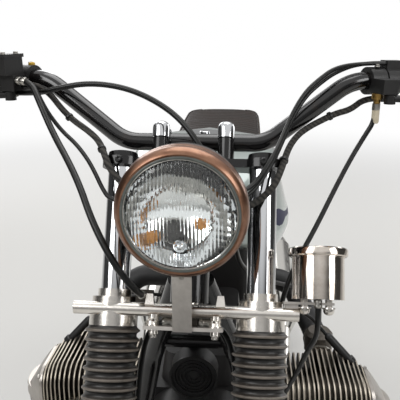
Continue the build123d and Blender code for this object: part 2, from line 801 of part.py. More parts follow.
# Front mudguard: a short rolled shell on stays between the sliders.
guard_sheet = 2.6
guard_radius = front_tyre_radius + 22
guard_half = front_tyre_width / 2 + 6
guard_edge = guard_radius - 16
guard_start = radians(62)
guard_sweep = 100.0
with BuildPart() as front_mudguard:
    start_way = Vector(0, -cos(guard_start), sin(guard_start))
    start_plane = Plane(
        origin=front_axle_centre, x_dir=(1, 0, 0), z_dir=Vector(1, 0, 0).cross(start_way)
    )
    with BuildSketch(start_plane):
        with BuildLine():
            ThreePointArc((-guard_half, guard_edge), (0, guard_radius + 4), (guard_half, guard_edge))
            Line((guard_half, guard_edge), (guard_half - guard_sheet, guard_edge))
            ThreePointArc(
                (guard_half - guard_sheet, guard_edge), (0, guard_radius + 4 - guard_sheet),
                (-guard_half + guard_sheet, guard_edge),
            )
            Line((-guard_half + guard_sheet, guard_edge), (-guard_half, guard_edge))
        make_face()
    revolve(axis=Axis(front_axle_centre, (-1, 0, 0)), revolution_arc=guard_sweep)
    for side in sides:
        stay = Plane(
            origin=on_fork(side * (guard_half - 1.5), fork_setback, 0), x_dir=fork.y_dir, z_dir=(1, 0, 0)
        )
        with BuildSketch(stay):
            with Locations((0, (slider_top - 52 + guard_edge + 7) / 2)):
                Rectangle(24, guard_edge + 7 - slider_top + 52)
        extrude(amount=side * 4)
        with BuildSketch(stay):
            with Locations((0, slider_top - 35)):
                Circle(8)
        extrude(amount=side * (fork_x - slider_radius - guard_half + 1.2))
front_mudguard.part.label = "front_mudguard"
export_step(front_mudguard.part, "parts/front_mudguard.step")

# Main frame: the steering head and a backbone back to the seat rails.
head_bottom = bridge_top + 2
head_top = upper_bridge_bottom - 2
backbone_front = on_fork(0, steering_setback, 590)
frame_level = backbone_front.Z
rail_start = (100.0, cylinder_y + 365.0, frame_level - 87.0)
backbone_end = Vector(0, rail_start[1], rail_start[2])
backbone_run = backbone_end - backbone_front
backbone_way = backbone_run.normalized()
rail_start_radius = 14.0
rubber_ring = 7.7
# distances back from the steering head of the rubber rings that carry the tank
ring_places = (90.0, backbone_run.length - 200.0)
with BuildPart() as backbone:
    with BuildSketch(Plane(origin=backbone_front, z_dir=backbone_run)):
        Circle(backbone_radius)
    extrude(amount=backbone_run.length - rail_start_radius - 0.4)
    for reach in ring_places:
        with BuildSketch(Plane(origin=backbone_front + backbone_way * reach, z_dir=backbone_run)):
            Circle(backbone_radius + rubber_ring)
        extrude(amount=30)
    with BuildSketch(fork.offset(head_bottom)):
        with Locations((0, steering_setback)):
            Circle(head_tube_radius)
    extrude(amount=head_top - head_bottom)
    with BuildSketch(fork.offset(head_bottom)):
        with Locations((0, steering_setback)):
            Circle(stem_radius + running_gap)
    extrude(amount=head_top - head_bottom, mode=Mode.SUBTRACT)
backbone.part.label = "backbone"
export_step(backbone.part, "parts/backbone.step")

# Cradle: two tubes from the steering head, round the engine and up to the seat rails.
downtube_top = on_fork(0, steering_setback + 16, head_bottom + 31)
knee_y = cylinder_y - 205.0
front_corner_y = cylinder_y - 125.0
rear_corner_y = cylinder_y + 400.0
stand_pivot_y = cylinder_y + 280.0
stand_pivot_z = cradle_z - 30.0
upright_z = frame_level - 222.0
pin_radius = 8.0
pivot_plate_x = 110.0
cradle_sides = []
for side in sides:
    cradle_sides.append(tube(
        (
            (side * 18, downtube_top.Y, downtube_top.Z),
            (side * 70, knee_y, frame_level - 212),
            (side * cradle_x, knee_y + 50, cradle_z + 115),
            (side * cradle_x, front_corner_y, cradle_z),
            (side * cradle_x, rear_corner_y, cradle_z),
            (side * (cradle_x - 7), rear_corner_y + 60, cradle_z + 115),
            (side * (rail_start[0] + 4), rear_corner_y + 20, upright_z),
            (side * rail_start[0], rail_start[1], rail_start[2]),
        ),
        frame_tube_radius, [90, 120, 60, 60, 110, 110],
    ))
# half length, y, z, radius
cradle_bars = (
    (60, knee_y - 17, frame_level - 172, 10),
    (cradle_x - 15, front_corner_y - 7, cradle_z + 25, 12),
    (cradle_x - 13, rear_corner_y - 20, cradle_z, 12),
    (rail_start[0] + 4, rear_corner_y + 20, upright_z, 14),
    (rail_start[0], rail_start[1], rail_start[2], rail_start_radius),
    (pivot_plate_x + 7, stand_pivot_y, stand_pivot_z, pin_radius),
)
with BuildPart() as cradle:
    for piece in cradle_sides:
        add(piece)
    with BuildSketch(fork.offset(head_bottom - 40)):
        with Locations((0, steering_setback)):
            Circle(head_tube_radius + seat_gap)
    extrude(amount=head_top - head_bottom + 40, mode=Mode.SUBTRACT)
    for half, y, z, radius in cradle_bars:
        add(cross_bar(half, y, z, radius))
    for side in sides:
        plate = Plane(
            origin=(side * pivot_plate_x, stand_pivot_y, stand_pivot_z), x_dir=(0, 1, 0), z_dir=(1, 0, 0)
        )
        with BuildSketch(plate):
            Circle(15)
            with Locations((0, 14)):
                Rectangle(30, 28)
        extrude(amount=side * 7)
cradle.part.label = "cradle"
export_step(cradle.part, "parts/cradle.step")

# Seat rails: two tubes back from the frame, stays up from the cradle, and cross tubes.
rail_x = rail_start[0] + 5
rail_end_y = rear_y + 65.0
shock_top_y = rear_y - 125.0
shock_top_z = frame_level - 47.0
rail_middle_y = rail_start[1] + 185.0
cross_radius = 9.0
rail_run = (
    (rail_start[0], rail_start[1] + 19, rail_start[2] + 3.4),
    (rail_x, rail_middle_y, frame_level - 52),
    (rail_x, shock_top_y + 30, frame_level - 22),
    (rail_start[0], rail_end_y, frame_level - 7),
)
rail_sides = []
for side in sides:
    rail_sides.append(tube([(side * x, y, z) for x, y, z in rail_run], rail_radius, [200, 200]))
    stay_foot = (side * (cradle_x - 10), rear_corner_y + 73, upright_z - 160)
    rail_sides.append(straight(stay_foot, (side * 106, shock_top_y - 50, frame_level - 37), 10))
# half length, y, z
rail_bars = (
    (rail_x, rail_middle_y + 50, frame_level - 45),
    (rail_start[0], rear_y, frame_level - 13),
    (rail_start[0], rail_end_y - 4, frame_level - 7.5),
)
shock_post = 24.0
with BuildPart() as seat_rails:
    for piece in rail_sides:
        add(piece)
    for half, y, z in rail_bars:
        add(cross_bar(half, y, z, cross_radius))
    for side in sides:
        with BuildSketch(Plane(origin=(side * (rail_x + 3), shock_top_y, shock_top_z), z_dir=(side, 0, 0))):
            Circle(11)
        extrude(amount=shock_post)
seat_rails.part.label = "seat_rails"
export_step(seat_rails.part, "parts/seat_rails.step")

# Engine: a plain block for what is closed inside, with its front and top covers and feet.
case_bottom = cylinder_z - 156.0
case_top = cylinder_z + 98.0
case_front = cylinder_y - 120.0
case_back = cylinder_y + 220.0
with BuildPart() as crankcase:
    with BuildSketch(Plane.XY.offset(case_bottom)):
        with Locations((0, (case_front + case_back) / 2)):
            RectangleRounded(2 * crankcase_half_width, case_back - case_front, 20)
    extrude(amount=case_top - case_bottom)
    with BuildSketch(Plane.XZ.offset(-case_front)):
        with Locations((0, cylinder_z - 20)):
            RectangleRounded(2 * crankcase_half_width - 20, 240, 60)
    extrude(amount=32, taper=8)
    with BuildSketch(Plane.XZ.offset(-case_front + 32)):
        with Locations((0, cylinder_z - 20)):
            RectangleRounded(2 * crankcase_half_width - 80, 170, 40)
    extrude(amount=7, taper=20)
    with BuildSketch(Plane.XY.offset(case_top - 2)):
        with Locations((0, cylinder_y + 40)):
            RectangleRounded(150, 300, 30)
    extrude(amount=62, taper=8)
    for side in sides:
        for y in (cylinder_y - 40, cylinder_y + 170):
            with BuildSketch(Plane.XY.offset(cradle_z + frame_tube_radius + face_gap)):
                with Locations((side * (cradle_x - 10), y)):
                    Rectangle(46, 30)
            extrude(amount=24)
crankcase.part.label = "crankcase"
export_step(crankcase.part, "parts/crankcase.step")

# Oil pan with cooling ribs along it.
pan_depth = 44.0
with BuildPart() as sump:
    with BuildSketch(Plane.XY.offset(case_bottom - seat_gap)):
        with Locations((0, cylinder_y + 50)):
            RectangleRounded(2 * crankcase_half_width - 30, 270, 24)
    extrude(amount=-pan_depth + 8, taper=6)
    for rib in range(-3, 4):
        with BuildSketch(Plane.XY.offset(case_bottom - seat_gap - pan_depth)):
            with Locations((rib * 22, cylinder_y + 50)):
                Rectangle(4, 236)
        extrude(amount=12)
sump.part.label = "sump"
export_step(sump.part, "parts/sump.step")

# Gearbox behind the engine, with a cable stop and the speedometer's drive on its left.
gearbox_front = case_back + seat_gap
gearbox_z = cylinder_z - 30.0
stop_place = (gearbox_front + 45.0, cylinder_z + 19.0)
drive_place = (gearbox_front + 60.0, cylinder_z - 92.0)
stop_x = 110.0
drive_face = 108.0
with BuildPart() as gearbox:
    with BuildSketch(Plane.XZ.offset(-gearbox_front)):
        with Locations((0, gearbox_z)):
            RectangleRounded(2 * crankcase_half_width - 20, 220, 50)
    extrude(amount=-190, taper=5)
    with BuildSketch(Plane.XZ.offset(-stop_place[0] + 7)):
        with Locations((stop_x - 12, stop_place[1])):
            Rectangle(36, 22)
    extrude(amount=-14)
    with BuildSketch(Plane.YZ.offset(70)):
        with Locations(drive_place):
            Circle(12)
    extrude(amount=drive_face - 70)
gearbox.part.label = "gearbox"
export_step(gearbox.part, "parts/gearbox.step")


def bank_y(side):
    """The rider's left cylinder sits a little ahead of the right one."""
    return cylinder_y - side * cylinder_stagger


def outboard(side, x):
    """A plane that looks outward along one cylinder; its local x is the bike's Y times side."""
    return Plane(origin=(side * x, bank_y(side), cylinder_z), x_dir=(0, side, 0), z_dir=(side, 0, 0))


# Barrels: a round core, square-cornered fins and two pushrod tubes below.
head_joint_x = crankcase_half_width + barrel_length
cover_joint_x = head_joint_x + head_length
barrel_fin_half = 84.0
head_fin_half = 92.0
fin_corner = 40.0
pushrod_drop = 70.0
with BuildPart() as barrels:
    for side in sides:
        with BuildSketch(outboard(side, crankcase_half_width + seat_gap)):
            Circle(barrel_radius)
            with Locations((-30, -pushrod_drop), (30, -pushrod_drop)):
                Circle(11)
        extrude(amount=barrel_length - 2 * seat_gap)
        fin_x = crankcase_half_width + 8
        while fin_x < head_joint_x - fin_thickness:
            with BuildSketch(outboard(side, fin_x)):
                RectangleRounded(2 * barrel_fin_half, 2 * barrel_fin_half, fin_corner)
            extrude(amount=fin_thickness)
            fin_x += fin_pitch
barrels.part.label = "barrels"
export_step(barrels.part, "parts/barrels.step")

# Heads: fins that shrink towards the cover, the inlet behind and a finned port ahead.
port_x = head_joint_x + 28.0
port_reach = 105.0
port_radius = 26.0
exhaust_port_z = cylinder_z - 6.0
inlet_port_z = cylinder_z + 45.0
pipe_radius = 19.0
with BuildPart() as heads:
    for side in sides:
        with BuildSketch(outboard(side, head_joint_x)):
            Circle(64)
        extrude(amount=head_length - seat_gap)
        fin_x = head_joint_x + 2
        while fin_x < cover_joint_x - fin_thickness:
            shrink = max(0.0, fin_x - head_joint_x - 45) ** 2 / 150
            half = head_fin_half - shrink
            with BuildSketch(outboard(side, fin_x)):
                RectangleRounded(2 * half + 2, 2 * half - 2, fin_corner)
            extrude(amount=fin_thickness)
            fin_x += fin_pitch
        port = Plane(origin=(side * port_x, bank_y(side) - 40, exhaust_port_z), z_dir=(0, -1, 0))
        with BuildSketch(port):
            Circle(port_radius)
        extrude(amount=port_reach - 40)
        for ring in range(4):
            with BuildSketch(port.offset(port_reach - 43 - ring * 6)):
                Circle(port_radius + 9)
            extrude(amount=3)
        with BuildSketch(port.offset(port_reach - 65)):
            Circle(pipe_radius + seat_gap)
        extrude(amount=40, mode=Mode.SUBTRACT)
        with BuildSketch(Plane(origin=(side * port_x, bank_y(side) + 30, inlet_port_z), z_dir=(0, 1, 0))):
            Circle(23)
        extrude(amount=port_reach - 35)
heads.part.label = "cylinder_heads"
export_step(heads.part, "parts/cylinder_heads.step")

# Rocker covers: domed to a crease, with level ribs across the middle.
cover_flange = 6.0
# reach beyond the joint, half length, half height, corner
cover_sections = ((cover_flange, 68, 64, 34), (22, 54, 45, 26), (36, 40, 24, 14), (45, 30, 10, 6))
rib_reach = 48.0
rib_thickness = 3.0
with BuildPart() as rocker_covers:
    for side in sides:
        with BuildSketch(outboard(side, cover_joint_x)):
            RectangleRounded(136, 128, 34)
        extrude(amount=cover_flange)
        for reach, half_length, half_height, corner in cover_sections:
            with BuildSketch(outboard(side, cover_joint_x + reach)):
                RectangleRounded(2 * half_length, 2 * half_height, corner)
        loft()
        for level in (-18, -9, 0, 9, 18):
            rib_origin = (side * cover_joint_x, bank_y(side), cylinder_z + level - rib_thickness / 2)
            with BuildSketch(Plane(origin=rib_origin, x_dir=(1, 0, 0), z_dir=(0, 0, 1))):
                with BuildLine():
                    Line((0, -58), (0, 58))
                    Line((0, 58), (side * 12, 58))
                    ThreePointArc((side * 12, 58), (side * 40, 34), (side * rib_reach, 0))
                    ThreePointArc((side * rib_reach, 0), (side * 40, -34), (side * 12, -58))
                    Line((side * 12, -58), (0, -58))
                make_face()
            extrude(amount=rib_thickness)
rocker_covers.part.label = "rocker_covers"
export_step(rocker_covers.part, "parts/rocker_covers.step")

# Carburettors behind the heads: a body, a float bowl below and a domed chamber above.
carburettor_length = 72.0
chamber_top = inlet_port_z + 48.0


def carburettor_y(side):
    """Where each carburettor begins, behind its head's inlet."""
    return bank_y(side) + port_reach - 5 + face_gap


with BuildPart() as carburettors:
    for side in sides:
        start = carburettor_y(side)
        with BuildSketch(Plane(origin=(side * port_x, start, inlet_port_z), z_dir=(0, 1, 0))):
            Circle(27)
        extrude(amount=carburettor_length)
        with BuildSketch(Plane.XY.offset(inlet_port_z - 62)):
            with Locations((side * port_x, start + carburettor_length / 2)):
                RectangleRounded(50, 46, 12)
        extrude(amount=60)
        with BuildSketch(Plane.XY.offset(inlet_port_z)):
            with Locations((side * port_x, start + carburettor_length / 2)):
                Circle(30)
        extrude(amount=chamber_top - inlet_port_z - 8)
        with BuildSketch(Plane.XY.offset(chamber_top - 8)):
            with Locations((side * port_x, start + carburettor_length / 2)):
                Circle(30)
        extrude(amount=8, taper=40)
carburettors.part.label = "carburettors"
export_step(carburettors.part, "parts/carburettors.step")

# Intake tubes up and in to the air box, which sits on the gearbox.
airbox_half = 92.0
airbox_y = cylinder_y + 285.0
intake_z = inlet_port_z + 90.0
intake_sides = []
for side in sides:
    mouth = carburettor_y(side) + carburettor_length + face_gap
    intake_sides.append(tube(
        ((side * port_x, mouth, inlet_port_z), (side * port_x, mouth + 40, inlet_port_z),
         (side * (port_x - 55), airbox_y, intake_z),
         (side * (airbox_half + 0.4), airbox_y, intake_z)),
        26, [30, 60],
    ))
with BuildPart() as intake_tubes:
    for piece in intake_sides:
        add(piece)
intake_tubes.part.label = "intake_tubes"
export_step(intake_tubes.part, "parts/intake_tubes.step")

with BuildPart() as airbox:
    with BuildSketch(Plane.XY.offset(gearbox_z + 110 + face_gap)):
        with Locations((0, airbox_y)):
            RectangleRounded(2 * airbox_half, 110, 25)
    extrude(amount=150)
airbox.part.label = "airbox"
export_step(airbox.part, "parts/airbox.step")

# Exhausts: a header down and back under each cylinder, and a long silencer.
silencer_radius = 42.0
silencer_length = 420.0
cone_length = 60.0
header_end_y = rear_corner_y + 150.0
header_sides = []
for side in sides:
    front = bank_y(side) - port_reach
    header_sides.append(tube(
        (
            (side * port_x, front + 20, exhaust_port_z),
            (side * port_x, front - 55, exhaust_port_z),
            (side * (port_x - 9), front - 75, exhaust_port_z - 106),
            (side * (cradle_x + 70), front - 40, cradle_z - 25),
            (side * (cradle_x + 47), cylinder_y + 40, cradle_z - 47),
            (side * (cradle_x + 47), cylinder_y + 320, cradle_z - 45),
            (side * 198, header_end_y - 110, cradle_z - 10),
            (side * 205, header_end_y, cradle_z + 20),
        ),
        pipe_radius, [45, 60, 90, 90, 120, 120],
    ))
with BuildPart() as exhausts:
    for side, header in zip(sides, header_sides):
        add(header)
        start = Vector(side * 205, header_end_y, cradle_z + 20)
        muzzle = Plane(origin=start, z_dir=(side * 7, 540, 85))
        with BuildSketch(muzzle.offset(-4)):
            Circle(pipe_radius + 2)
        extrude(amount=cone_length, taper=-20)
        with BuildSketch(muzzle.offset(cone_length - 4)):
            Circle(silencer_radius)
        extrude(amount=silencer_length)
        with BuildSketch(muzzle.offset(cone_length - 4 + silencer_length)):
            Circle(silencer_radius)
        extrude(amount=50, taper=14)
        with BuildSketch(muzzle.offset(silencer_length - 20)):
            Circle(20)
        extrude(amount=200, mode=Mode.SUBTRACT)
exhausts.part.label = "exhausts"
export_step(exhausts.part, "parts/exhausts.step")

# Fuel tank: broad rounded sections from front to back, over a tunnel for the backbone.
cap_y = cylinder_y + 10.0
cap_radius = 34.0
cap_floor = frame_level + 100.0
tunnel_gap = 8.0
# y behind the cylinders, half width, bottom and top from the steering head's level
tank_sections = (
    (-188, 68, -14, 60), (-140, 112, -46, 92), (-62, 147, -68, 106),
    (40, 160, -74, 110), (165, 148, -72, 100), (258, 112, -62, 70), (300, 80, -48, 42),
)
with BuildPart() as fuel_tank:
    for behind, half, bottom, top in tank_sections:
        section = Plane(
            origin=(0, cylinder_y + behind, frame_level), x_dir=(-1, 0, 0), z_dir=(0, 1, 0)
        )
        with BuildSketch(section):
            with BuildLine() as outline:
                Polyline(
                    (-half + 12, bottom), (half - 12, bottom), (half, bottom + (top - bottom) * 0.18),
                    (half * 0.78, top - 16), (0, top), (-half * 0.78, top - 16),
                    (-half, bottom + (top - bottom) * 0.18), close=True,
                )
                fillet(outline.vertices(), (top - bottom) * 0.11)
            make_face()
    loft()
    with BuildSketch(Plane.XY.offset(cap_floor)):
        with Locations((0, cap_y)):
            Circle(cap_radius + 1)
    extrude(amount=30, mode=Mode.SUBTRACT)
    tunnel = Plane(origin=backbone_front, x_dir=(1, 0, 0), z_dir=backbone_run)
    with BuildSketch(tunnel):
        Circle(backbone_radius + tunnel_gap)
        with Locations((0, 60)):
            Rectangle(2 * (backbone_radius + tunnel_gap), 120)
    extrude(amount=backbone_run.length, mode=Mode.SUBTRACT)
fuel_tank.part.label = "fuel_tank"
export_step(fuel_tank.part, "parts/fuel_tank.step")

with BuildPart() as filler_cap:
    with BuildSketch(Plane.XY.offset(cap_floor + face_gap)):
        with Locations((0, cap_y)):
            Circle(cap_radius)
    extrude(amount=18, taper=6)
filler_cap.part.label = "filler_cap"
export_step(filler_cap.part, "parts/filler_cap.step")

# Seat: a bench that swells up from the rails behind the tank.
seat_start_y = cylinder_y + 318.0
rail_clear = rail_radius + 0.4
# y, half width, bottom, top
seat_sections = (
    (seat_start_y, 92, frame_level - 30, frame_level + 46),
    (rail_start[1] + 65, 114, frame_level - 71 + rail_clear, frame_level + 44),
    (rail_middle_y, 120, frame_level - 52 + rail_clear, frame_level + 40),
    (shock_top_y + 30, 120, frame_level - 22 + rail_clear, frame_level + 58),
    (rail_end_y, 112, frame_level - 7 + rail_clear, frame_level + 66),
    (rail_end_y + 26, 90, frame_level + 20, frame_level + 50),
)
with BuildPart() as seat_cushion:
    for y, half, bottom, top in seat_sections:
        with BuildSketch(Plane(origin=(0, y, (bottom + top) / 2), x_dir=(-1, 0, 0), z_dir=(0, 1, 0))):
            RectangleRounded(2 * half, top - bottom, 14)
    loft(ruled=True)
seat_cushion.part.label = "seat"
export_step(seat_cushion.part, "parts/seat.step")

# Battery on the upright tubes' cross tube.
with BuildPart() as battery:
    with BuildSketch(Plane.XY.offset(upright_z + 14 + face_gap)):
        with Locations((0, rear_corner_y + 22)):
            Rectangle(150, 78)
    extrude(amount=120)
battery.part.label = "battery"
export_step(battery.part, "parts/battery.step")

# Swinging arm with the drive shaft's tube and the final drive on the rider's right.
arm_y = rear_corner_y + 50.0
arm_z = cradle_z + 115.0
final_drive_x = rear_tyre_width + 12.0
with BuildPart() as swinging_arm:
    add(cross_bar(101, arm_y, arm_z, 22))
    with BuildSketch(Plane.XZ.offset(-arm_y)):
        with Locations((-79, arm_z)):
            Circle(20)
    extrude(amount=-45)
    for x, radius, y in ((-88, 26, arm_y + 35), (83, 16, arm_y)):
        start = Vector(x, y, arm_z)
        along = Vector(x * 1.02, rear_y, rear_axle_centre.Z) - start
        with BuildSketch(Plane(origin=start, z_dir=along)):
            Circle(radius)
        extrude(amount=along.length - 20)
    with BuildSketch(Plane.YZ.offset(-final_drive_x)):
        with Locations((rear_y, rear_axle_centre.Z)):
            Circle(88)
    extrude(amount=66, taper=-4)
    with BuildSketch(Plane.YZ.offset(74)):
        with Locations((rear_y, rear_axle_centre.Z)):
            Circle(26)
    extrude(amount=34)
    with BuildSketch(Plane.YZ.offset(-final_drive_x)):
        with Locations((rear_y, rear_axle_centre.Z)):
            Circle(axle_radius + seat_gap)
    extrude(amount=2 * final_drive_x + 12, mode=Mode.SUBTRACT)
swinging_arm.part.label = "swinging_arm"
export_step(swinging_arm.part, "parts/swinging_arm.step")

# Rear axle with its spacer and nut.
with BuildPart() as rear_axle:
    # start, radius, length
    for start, radius, length in (
        (-final_drive_x + 2, axle_radius, final_drive_x + 116), (51, 16, 22.7), (108.3, 15, 12),
    ):
        with BuildSketch(Plane.YZ.offset(start)):
            with Locations((rear_y, rear_axle_centre.Z)):
                Circle(radius)
        extrude(amount=length)
rear_axle.part.label = "rear_axle"
export_step(rear_axle.part, "parts/rear_axle.step")

# Two spring struts between the rails and the swinging arm.
shock_x = rail_x + 3 + shock_post + face_gap
shock_top = Vector(0, shock_top_y, shock_top_z)
shock_foot = Vector(0, rear_y - 63, rear_axle_centre.Z + 27)
eye_length = 20.0
spring_start = 44.0
spring_turns = 13
spring_pitch = (0.85 * (shock_foot - shock_top).length - 2 * spring_start) / spring_turns
spring_outline = [(8, spring_start), (20, spring_start)]
for turn in range(spring_turns):
    spring_outline.append((27, spring_start + (turn + 0.5) * spring_pitch))
    spring_outline.append((21, spring_start + (turn + 1) * spring_pitch))
spring_outline.append((8, spring_start + spring_turns * spring_pitch))
with BuildPart() as shocks:
    for side in sides:
        top = Vector(side * shock_x, shock_top.Y, shock_top.Z)
        foot = Vector(side * shock_x, shock_foot.Y, shock_foot.Z)
        along = (foot - top).normalized()
        middle = Vector(side * eye_length / 2, 0, 0)
        for end in (top, foot):
            with BuildSketch(Plane(origin=end, z_dir=(side, 0, 0))):
                Circle(13)
            extrude(amount=eye_length)
        with BuildSketch(Plane(origin=top + middle, z_dir=along)):
            Circle(9)
        extrude(amount=(foot - top).length)
        with BuildSketch(Plane(origin=top + middle + along * 20, z_dir=along)):
            Circle(24)
        extrude(amount=spring_start - 20)
        with BuildSketch(Plane(origin=top + middle, x_dir=(1, 0, 0), z_dir=Vector(1, 0, 0).cross(along))):
            with BuildLine():
                Polyline(*spring_outline, close=True)
            make_face()
        revolve(axis=Axis(top + middle, along))
shocks.part.label = "shocks"
export_step(shocks.part, "parts/shocks.step")

# Rear mudguard over the wheel, hung from the rails.
rear_guard_radius = rear_tyre_radius + 26
rear_guard_half = rear_tyre_width / 2 + 10
rear_guard_edge = rear_guard_radius - 20
rear_guard_sheet = 3.0
rear_guard_start = radians(32)
strut_foot = rear_axle_centre.Z + rear_guard_radius + 3
with BuildPart() as rear_mudguard:
    start_way = Vector(0, cos(rear_guard_start), sin(rear_guard_start))
    start_plane = Plane(
        origin=rear_axle_centre, x_dir=(1, 0, 0), z_dir=Vector(1, 0, 0).cross(start_way)
    )
    inner_half = rear_guard_half - rear_guard_sheet
    with BuildSketch(start_plane):
        with BuildLine():
            ThreePointArc(
                (-rear_guard_half, rear_guard_edge), (0, rear_guard_radius + 5),
                (rear_guard_half, rear_guard_edge),
            )
            Line((rear_guard_half, rear_guard_edge), (inner_half, rear_guard_edge))
            ThreePointArc(
                (inner_half, rear_guard_edge), (0, rear_guard_radius + 5 - rear_guard_sheet),
                (-inner_half, rear_guard_edge),
            )
            Line((-inner_half, rear_guard_edge), (-rear_guard_half, rear_guard_edge))
        make_face()
    revolve(axis=Axis(rear_axle_centre, (1, 0, 0)), revolution_arc=113)
    with BuildSketch(Plane.XY.offset(strut_foot)):
        with Locations((0, rear_y)):
            Rectangle(40, 14)
    extrude(amount=frame_level - 13 - cross_radius - face_gap - strut_foot)
rear_mudguard.part.label = "rear_mudguard"
export_step(rear_mudguard.part, "parts/rear_mudguard.step")

# Tail lamp on the rails' last cross tube.
with BuildPart() as tail_lamp:
    with BuildSketch(Plane.XZ.offset(-(rail_end_y - 4 + cross_radius + 0.8))):
        with Locations((0, frame_level - 26)):
            Circle(30)
    extrude(amount=-34, taper=6)
tail_lamp.part.label = "tail_lamp"
export_step(tail_lamp.part, "parts/tail_lamp.step")

# Foot pegs on hangers outside the cradle, with the gear lever and the brake pedal.
hanger_x = cradle_x + frame_tube_radius + face_gap
hanger_thickness = 7.0
peg_z = cradle_z + 47.0
pedal_z = cradle_z + 4.0
pedal_sides = []
for side in sides:
    pedal_sides.append(tube(
        (
            (side * (hanger_x + 4), stand_pivot_y, pedal_z),
            (side * (hanger_x + 18), stand_pivot_y, pedal_z),
            (side * (hanger_x + 24), cylinder_y + 190, pedal_z + 4),
            (side * (hanger_x + 26), cylinder_y + 118, pedal_z + 24),
            (side * (hanger_x + 62), cylinder_y + 118, pedal_z + 26),
        ),
        6, [8, 60, 12],
    ))
with BuildPart() as foot_pegs:
    for side, pedal in zip(sides, pedal_sides):
        for start, radius, length in ((hanger_x, 9, 120), (hanger_x + 24, 15, 100)):
            with BuildSketch(Plane(origin=(side * start, stand_pivot_y, peg_z), z_dir=(side, 0, 0))):
                Circle(radius)
            extrude(amount=length)
        hanger = Plane(
            origin=(side * hanger_x, stand_pivot_y, peg_z - 24), x_dir=(0, 1, 0), z_dir=(1, 0, 0)
        )
        with BuildSketch(hanger):
            Rectangle(40, 66)
        extrude(amount=side * hanger_thickness)
        add(pedal)
foot_pegs.part.label = "foot_pegs"
export_step(foot_pegs.part, "parts/foot_pegs.step")

# Horn between the downtubes, on a strip from the cross tube behind it.
horn_y = knee_y - 3.0
horn_z = frame_level - 226.0
horn_radius = 38.0
with BuildPart() as horn:
    with BuildSketch(Plane.XZ.offset(-horn_y)):
        with Locations((0, horn_z)):
            Circle(horn_radius)
    extrude(amount=30, taper=4)
    with BuildSketch(Plane.XZ.offset(-horn_y + 26)):
        with Locations((0, horn_z)):
            Circle(horn_radius - 8)
    extrude(amount=6, mode=Mode.SUBTRACT)
    with BuildSketch(Plane.XZ.offset(-horn_y - face_gap)):
        with Locations((0, horn_z + 29)):
            Rectangle(22, 60)
    extrude(amount=4)
horn.part.label = "horn"
export_step(horn.part, "parts/horn.step")

# Centre stand: two legs on a pivot sleeve, with a cross brace and flat feet.
foot_y = stand_pivot_y - 38.0
foot_x = cradle_x - 3.0
sleeve_half = pivot_plate_x - 4
foot_height = 9.0
with BuildPart() as centre_stand:
    add(cross_bar(sleeve_half, stand_pivot_y, stand_pivot_z, 13.5))
    add(cross_bar(100, stand_pivot_y - 24, stand_pivot_z - 110, 9))
    for side in sides:
        start = Vector(side * 90, stand_pivot_y, stand_pivot_z)
        add(straight(start, (side * foot_x, foot_y, foot_height + 3), stand_leg_radius))
        with BuildSketch(Plane.XY):
            with Locations((side * foot_x, foot_y)):
                RectangleRounded(38, 60, 8)
        extrude(amount=foot_height)
    with BuildSketch(Plane.YZ.offset(-sleeve_half)):
        with Locations((stand_pivot_y, stand_pivot_z)):
            Circle(pin_radius + running_gap)
    extrude(amount=2 * sleeve_half, mode=Mode.SUBTRACT)
centre_stand.part.label = "centre_stand"
export_step(centre_stand.part, "parts/centre_stand.step")

# Brass fittings: the clutch cable's adjuster, and the brake hoses' two junction blocks.
adjuster_place = (perch_start + 19, 24.0)
adjuster_length = 14.0
block_along = bridge_top + seat_gap
hanging_top = lower_bridge_bottom - seat_gap
with BuildPart() as brass_fittings:
    with BuildSketch(Plane(
        origin=beside_bar(1, *adjuster_place, perch_bottom - seat_gap), z_dir=(0, 0, -1)
    )):
        Circle(8)
    extrude(amount=8)
    with BuildSketch(Plane(
        origin=beside_bar(1, *adjuster_place, perch_bottom - seat_gap), z_dir=(0, 0, -1)
    )):
        Circle(5)
    extrude(amount=adjuster_length)
    with BuildSketch(fork.offset(block_along)):
        with Locations((-56, 29)):
            Rectangle(22, 18)
    extrude(amount=17)
    with BuildSketch(fork.offset(hanging_top - 12)):
        with Locations((0, 44)):
            Rectangle(30, 16)
    extrude(amount=12)
brass_fittings.part.label = "brass_fittings"
export_step(brass_fittings.part, "parts/brass_fittings.step")

# Brake hoses: from the bar's cylinder to the bridge, and from under it to each caliper.
hose_radius = 4.5
line_radius = 4.0
hose_start = beside_bar(-1, perch_end + seat_gap, reservoir_back + 17, 0)
hose_entry = on_fork(-56, 20 - seat_gap, block_along + 9)
hose_route = (
    hose_start, hose_start + bar_frame(-1)[1] * 26, (-216, -359, 1024), (-191, -384, 984),
    (-160, -424, 956), (-137, -455, 930), (-118, -482, 898), (-97, -503, 868), (-76, -514, 838),
    hose_entry - fork.y_dir * 31, hose_entry,
)
caliper_top = caliper_along + caliper_length / 2 + seat_gap
caliper_hoses = []
for side in sides:
    caliper_hoses.append(cable("caliper hose", (
        on_fork(side * (15 + seat_gap), 44, hanging_top - 6),
        on_fork(side * 36, 44, hanging_top - 6),
        on_fork(side * 56, 64, 474), on_fork(side * 66, 84, 434), on_fork(side * 70, 92, 372),
        on_fork(side * 71, 95, 310), on_fork(side * 70, 93, 250), on_fork(side * 71, 99, 195),
        on_fork(side * 72, caliper_back, 145), on_fork(side * 72, caliper_back, caliper_top),
    ), line_radius))
with BuildPart() as brake_hoses:
    add(cable("brake hose", hose_route, hose_radius))
    for piece in caliper_hoses:
        add(piece)
brake_hoses.part.label = "brake_hoses"
export_step(brake_hoses.part, "parts/brake_hoses.step")

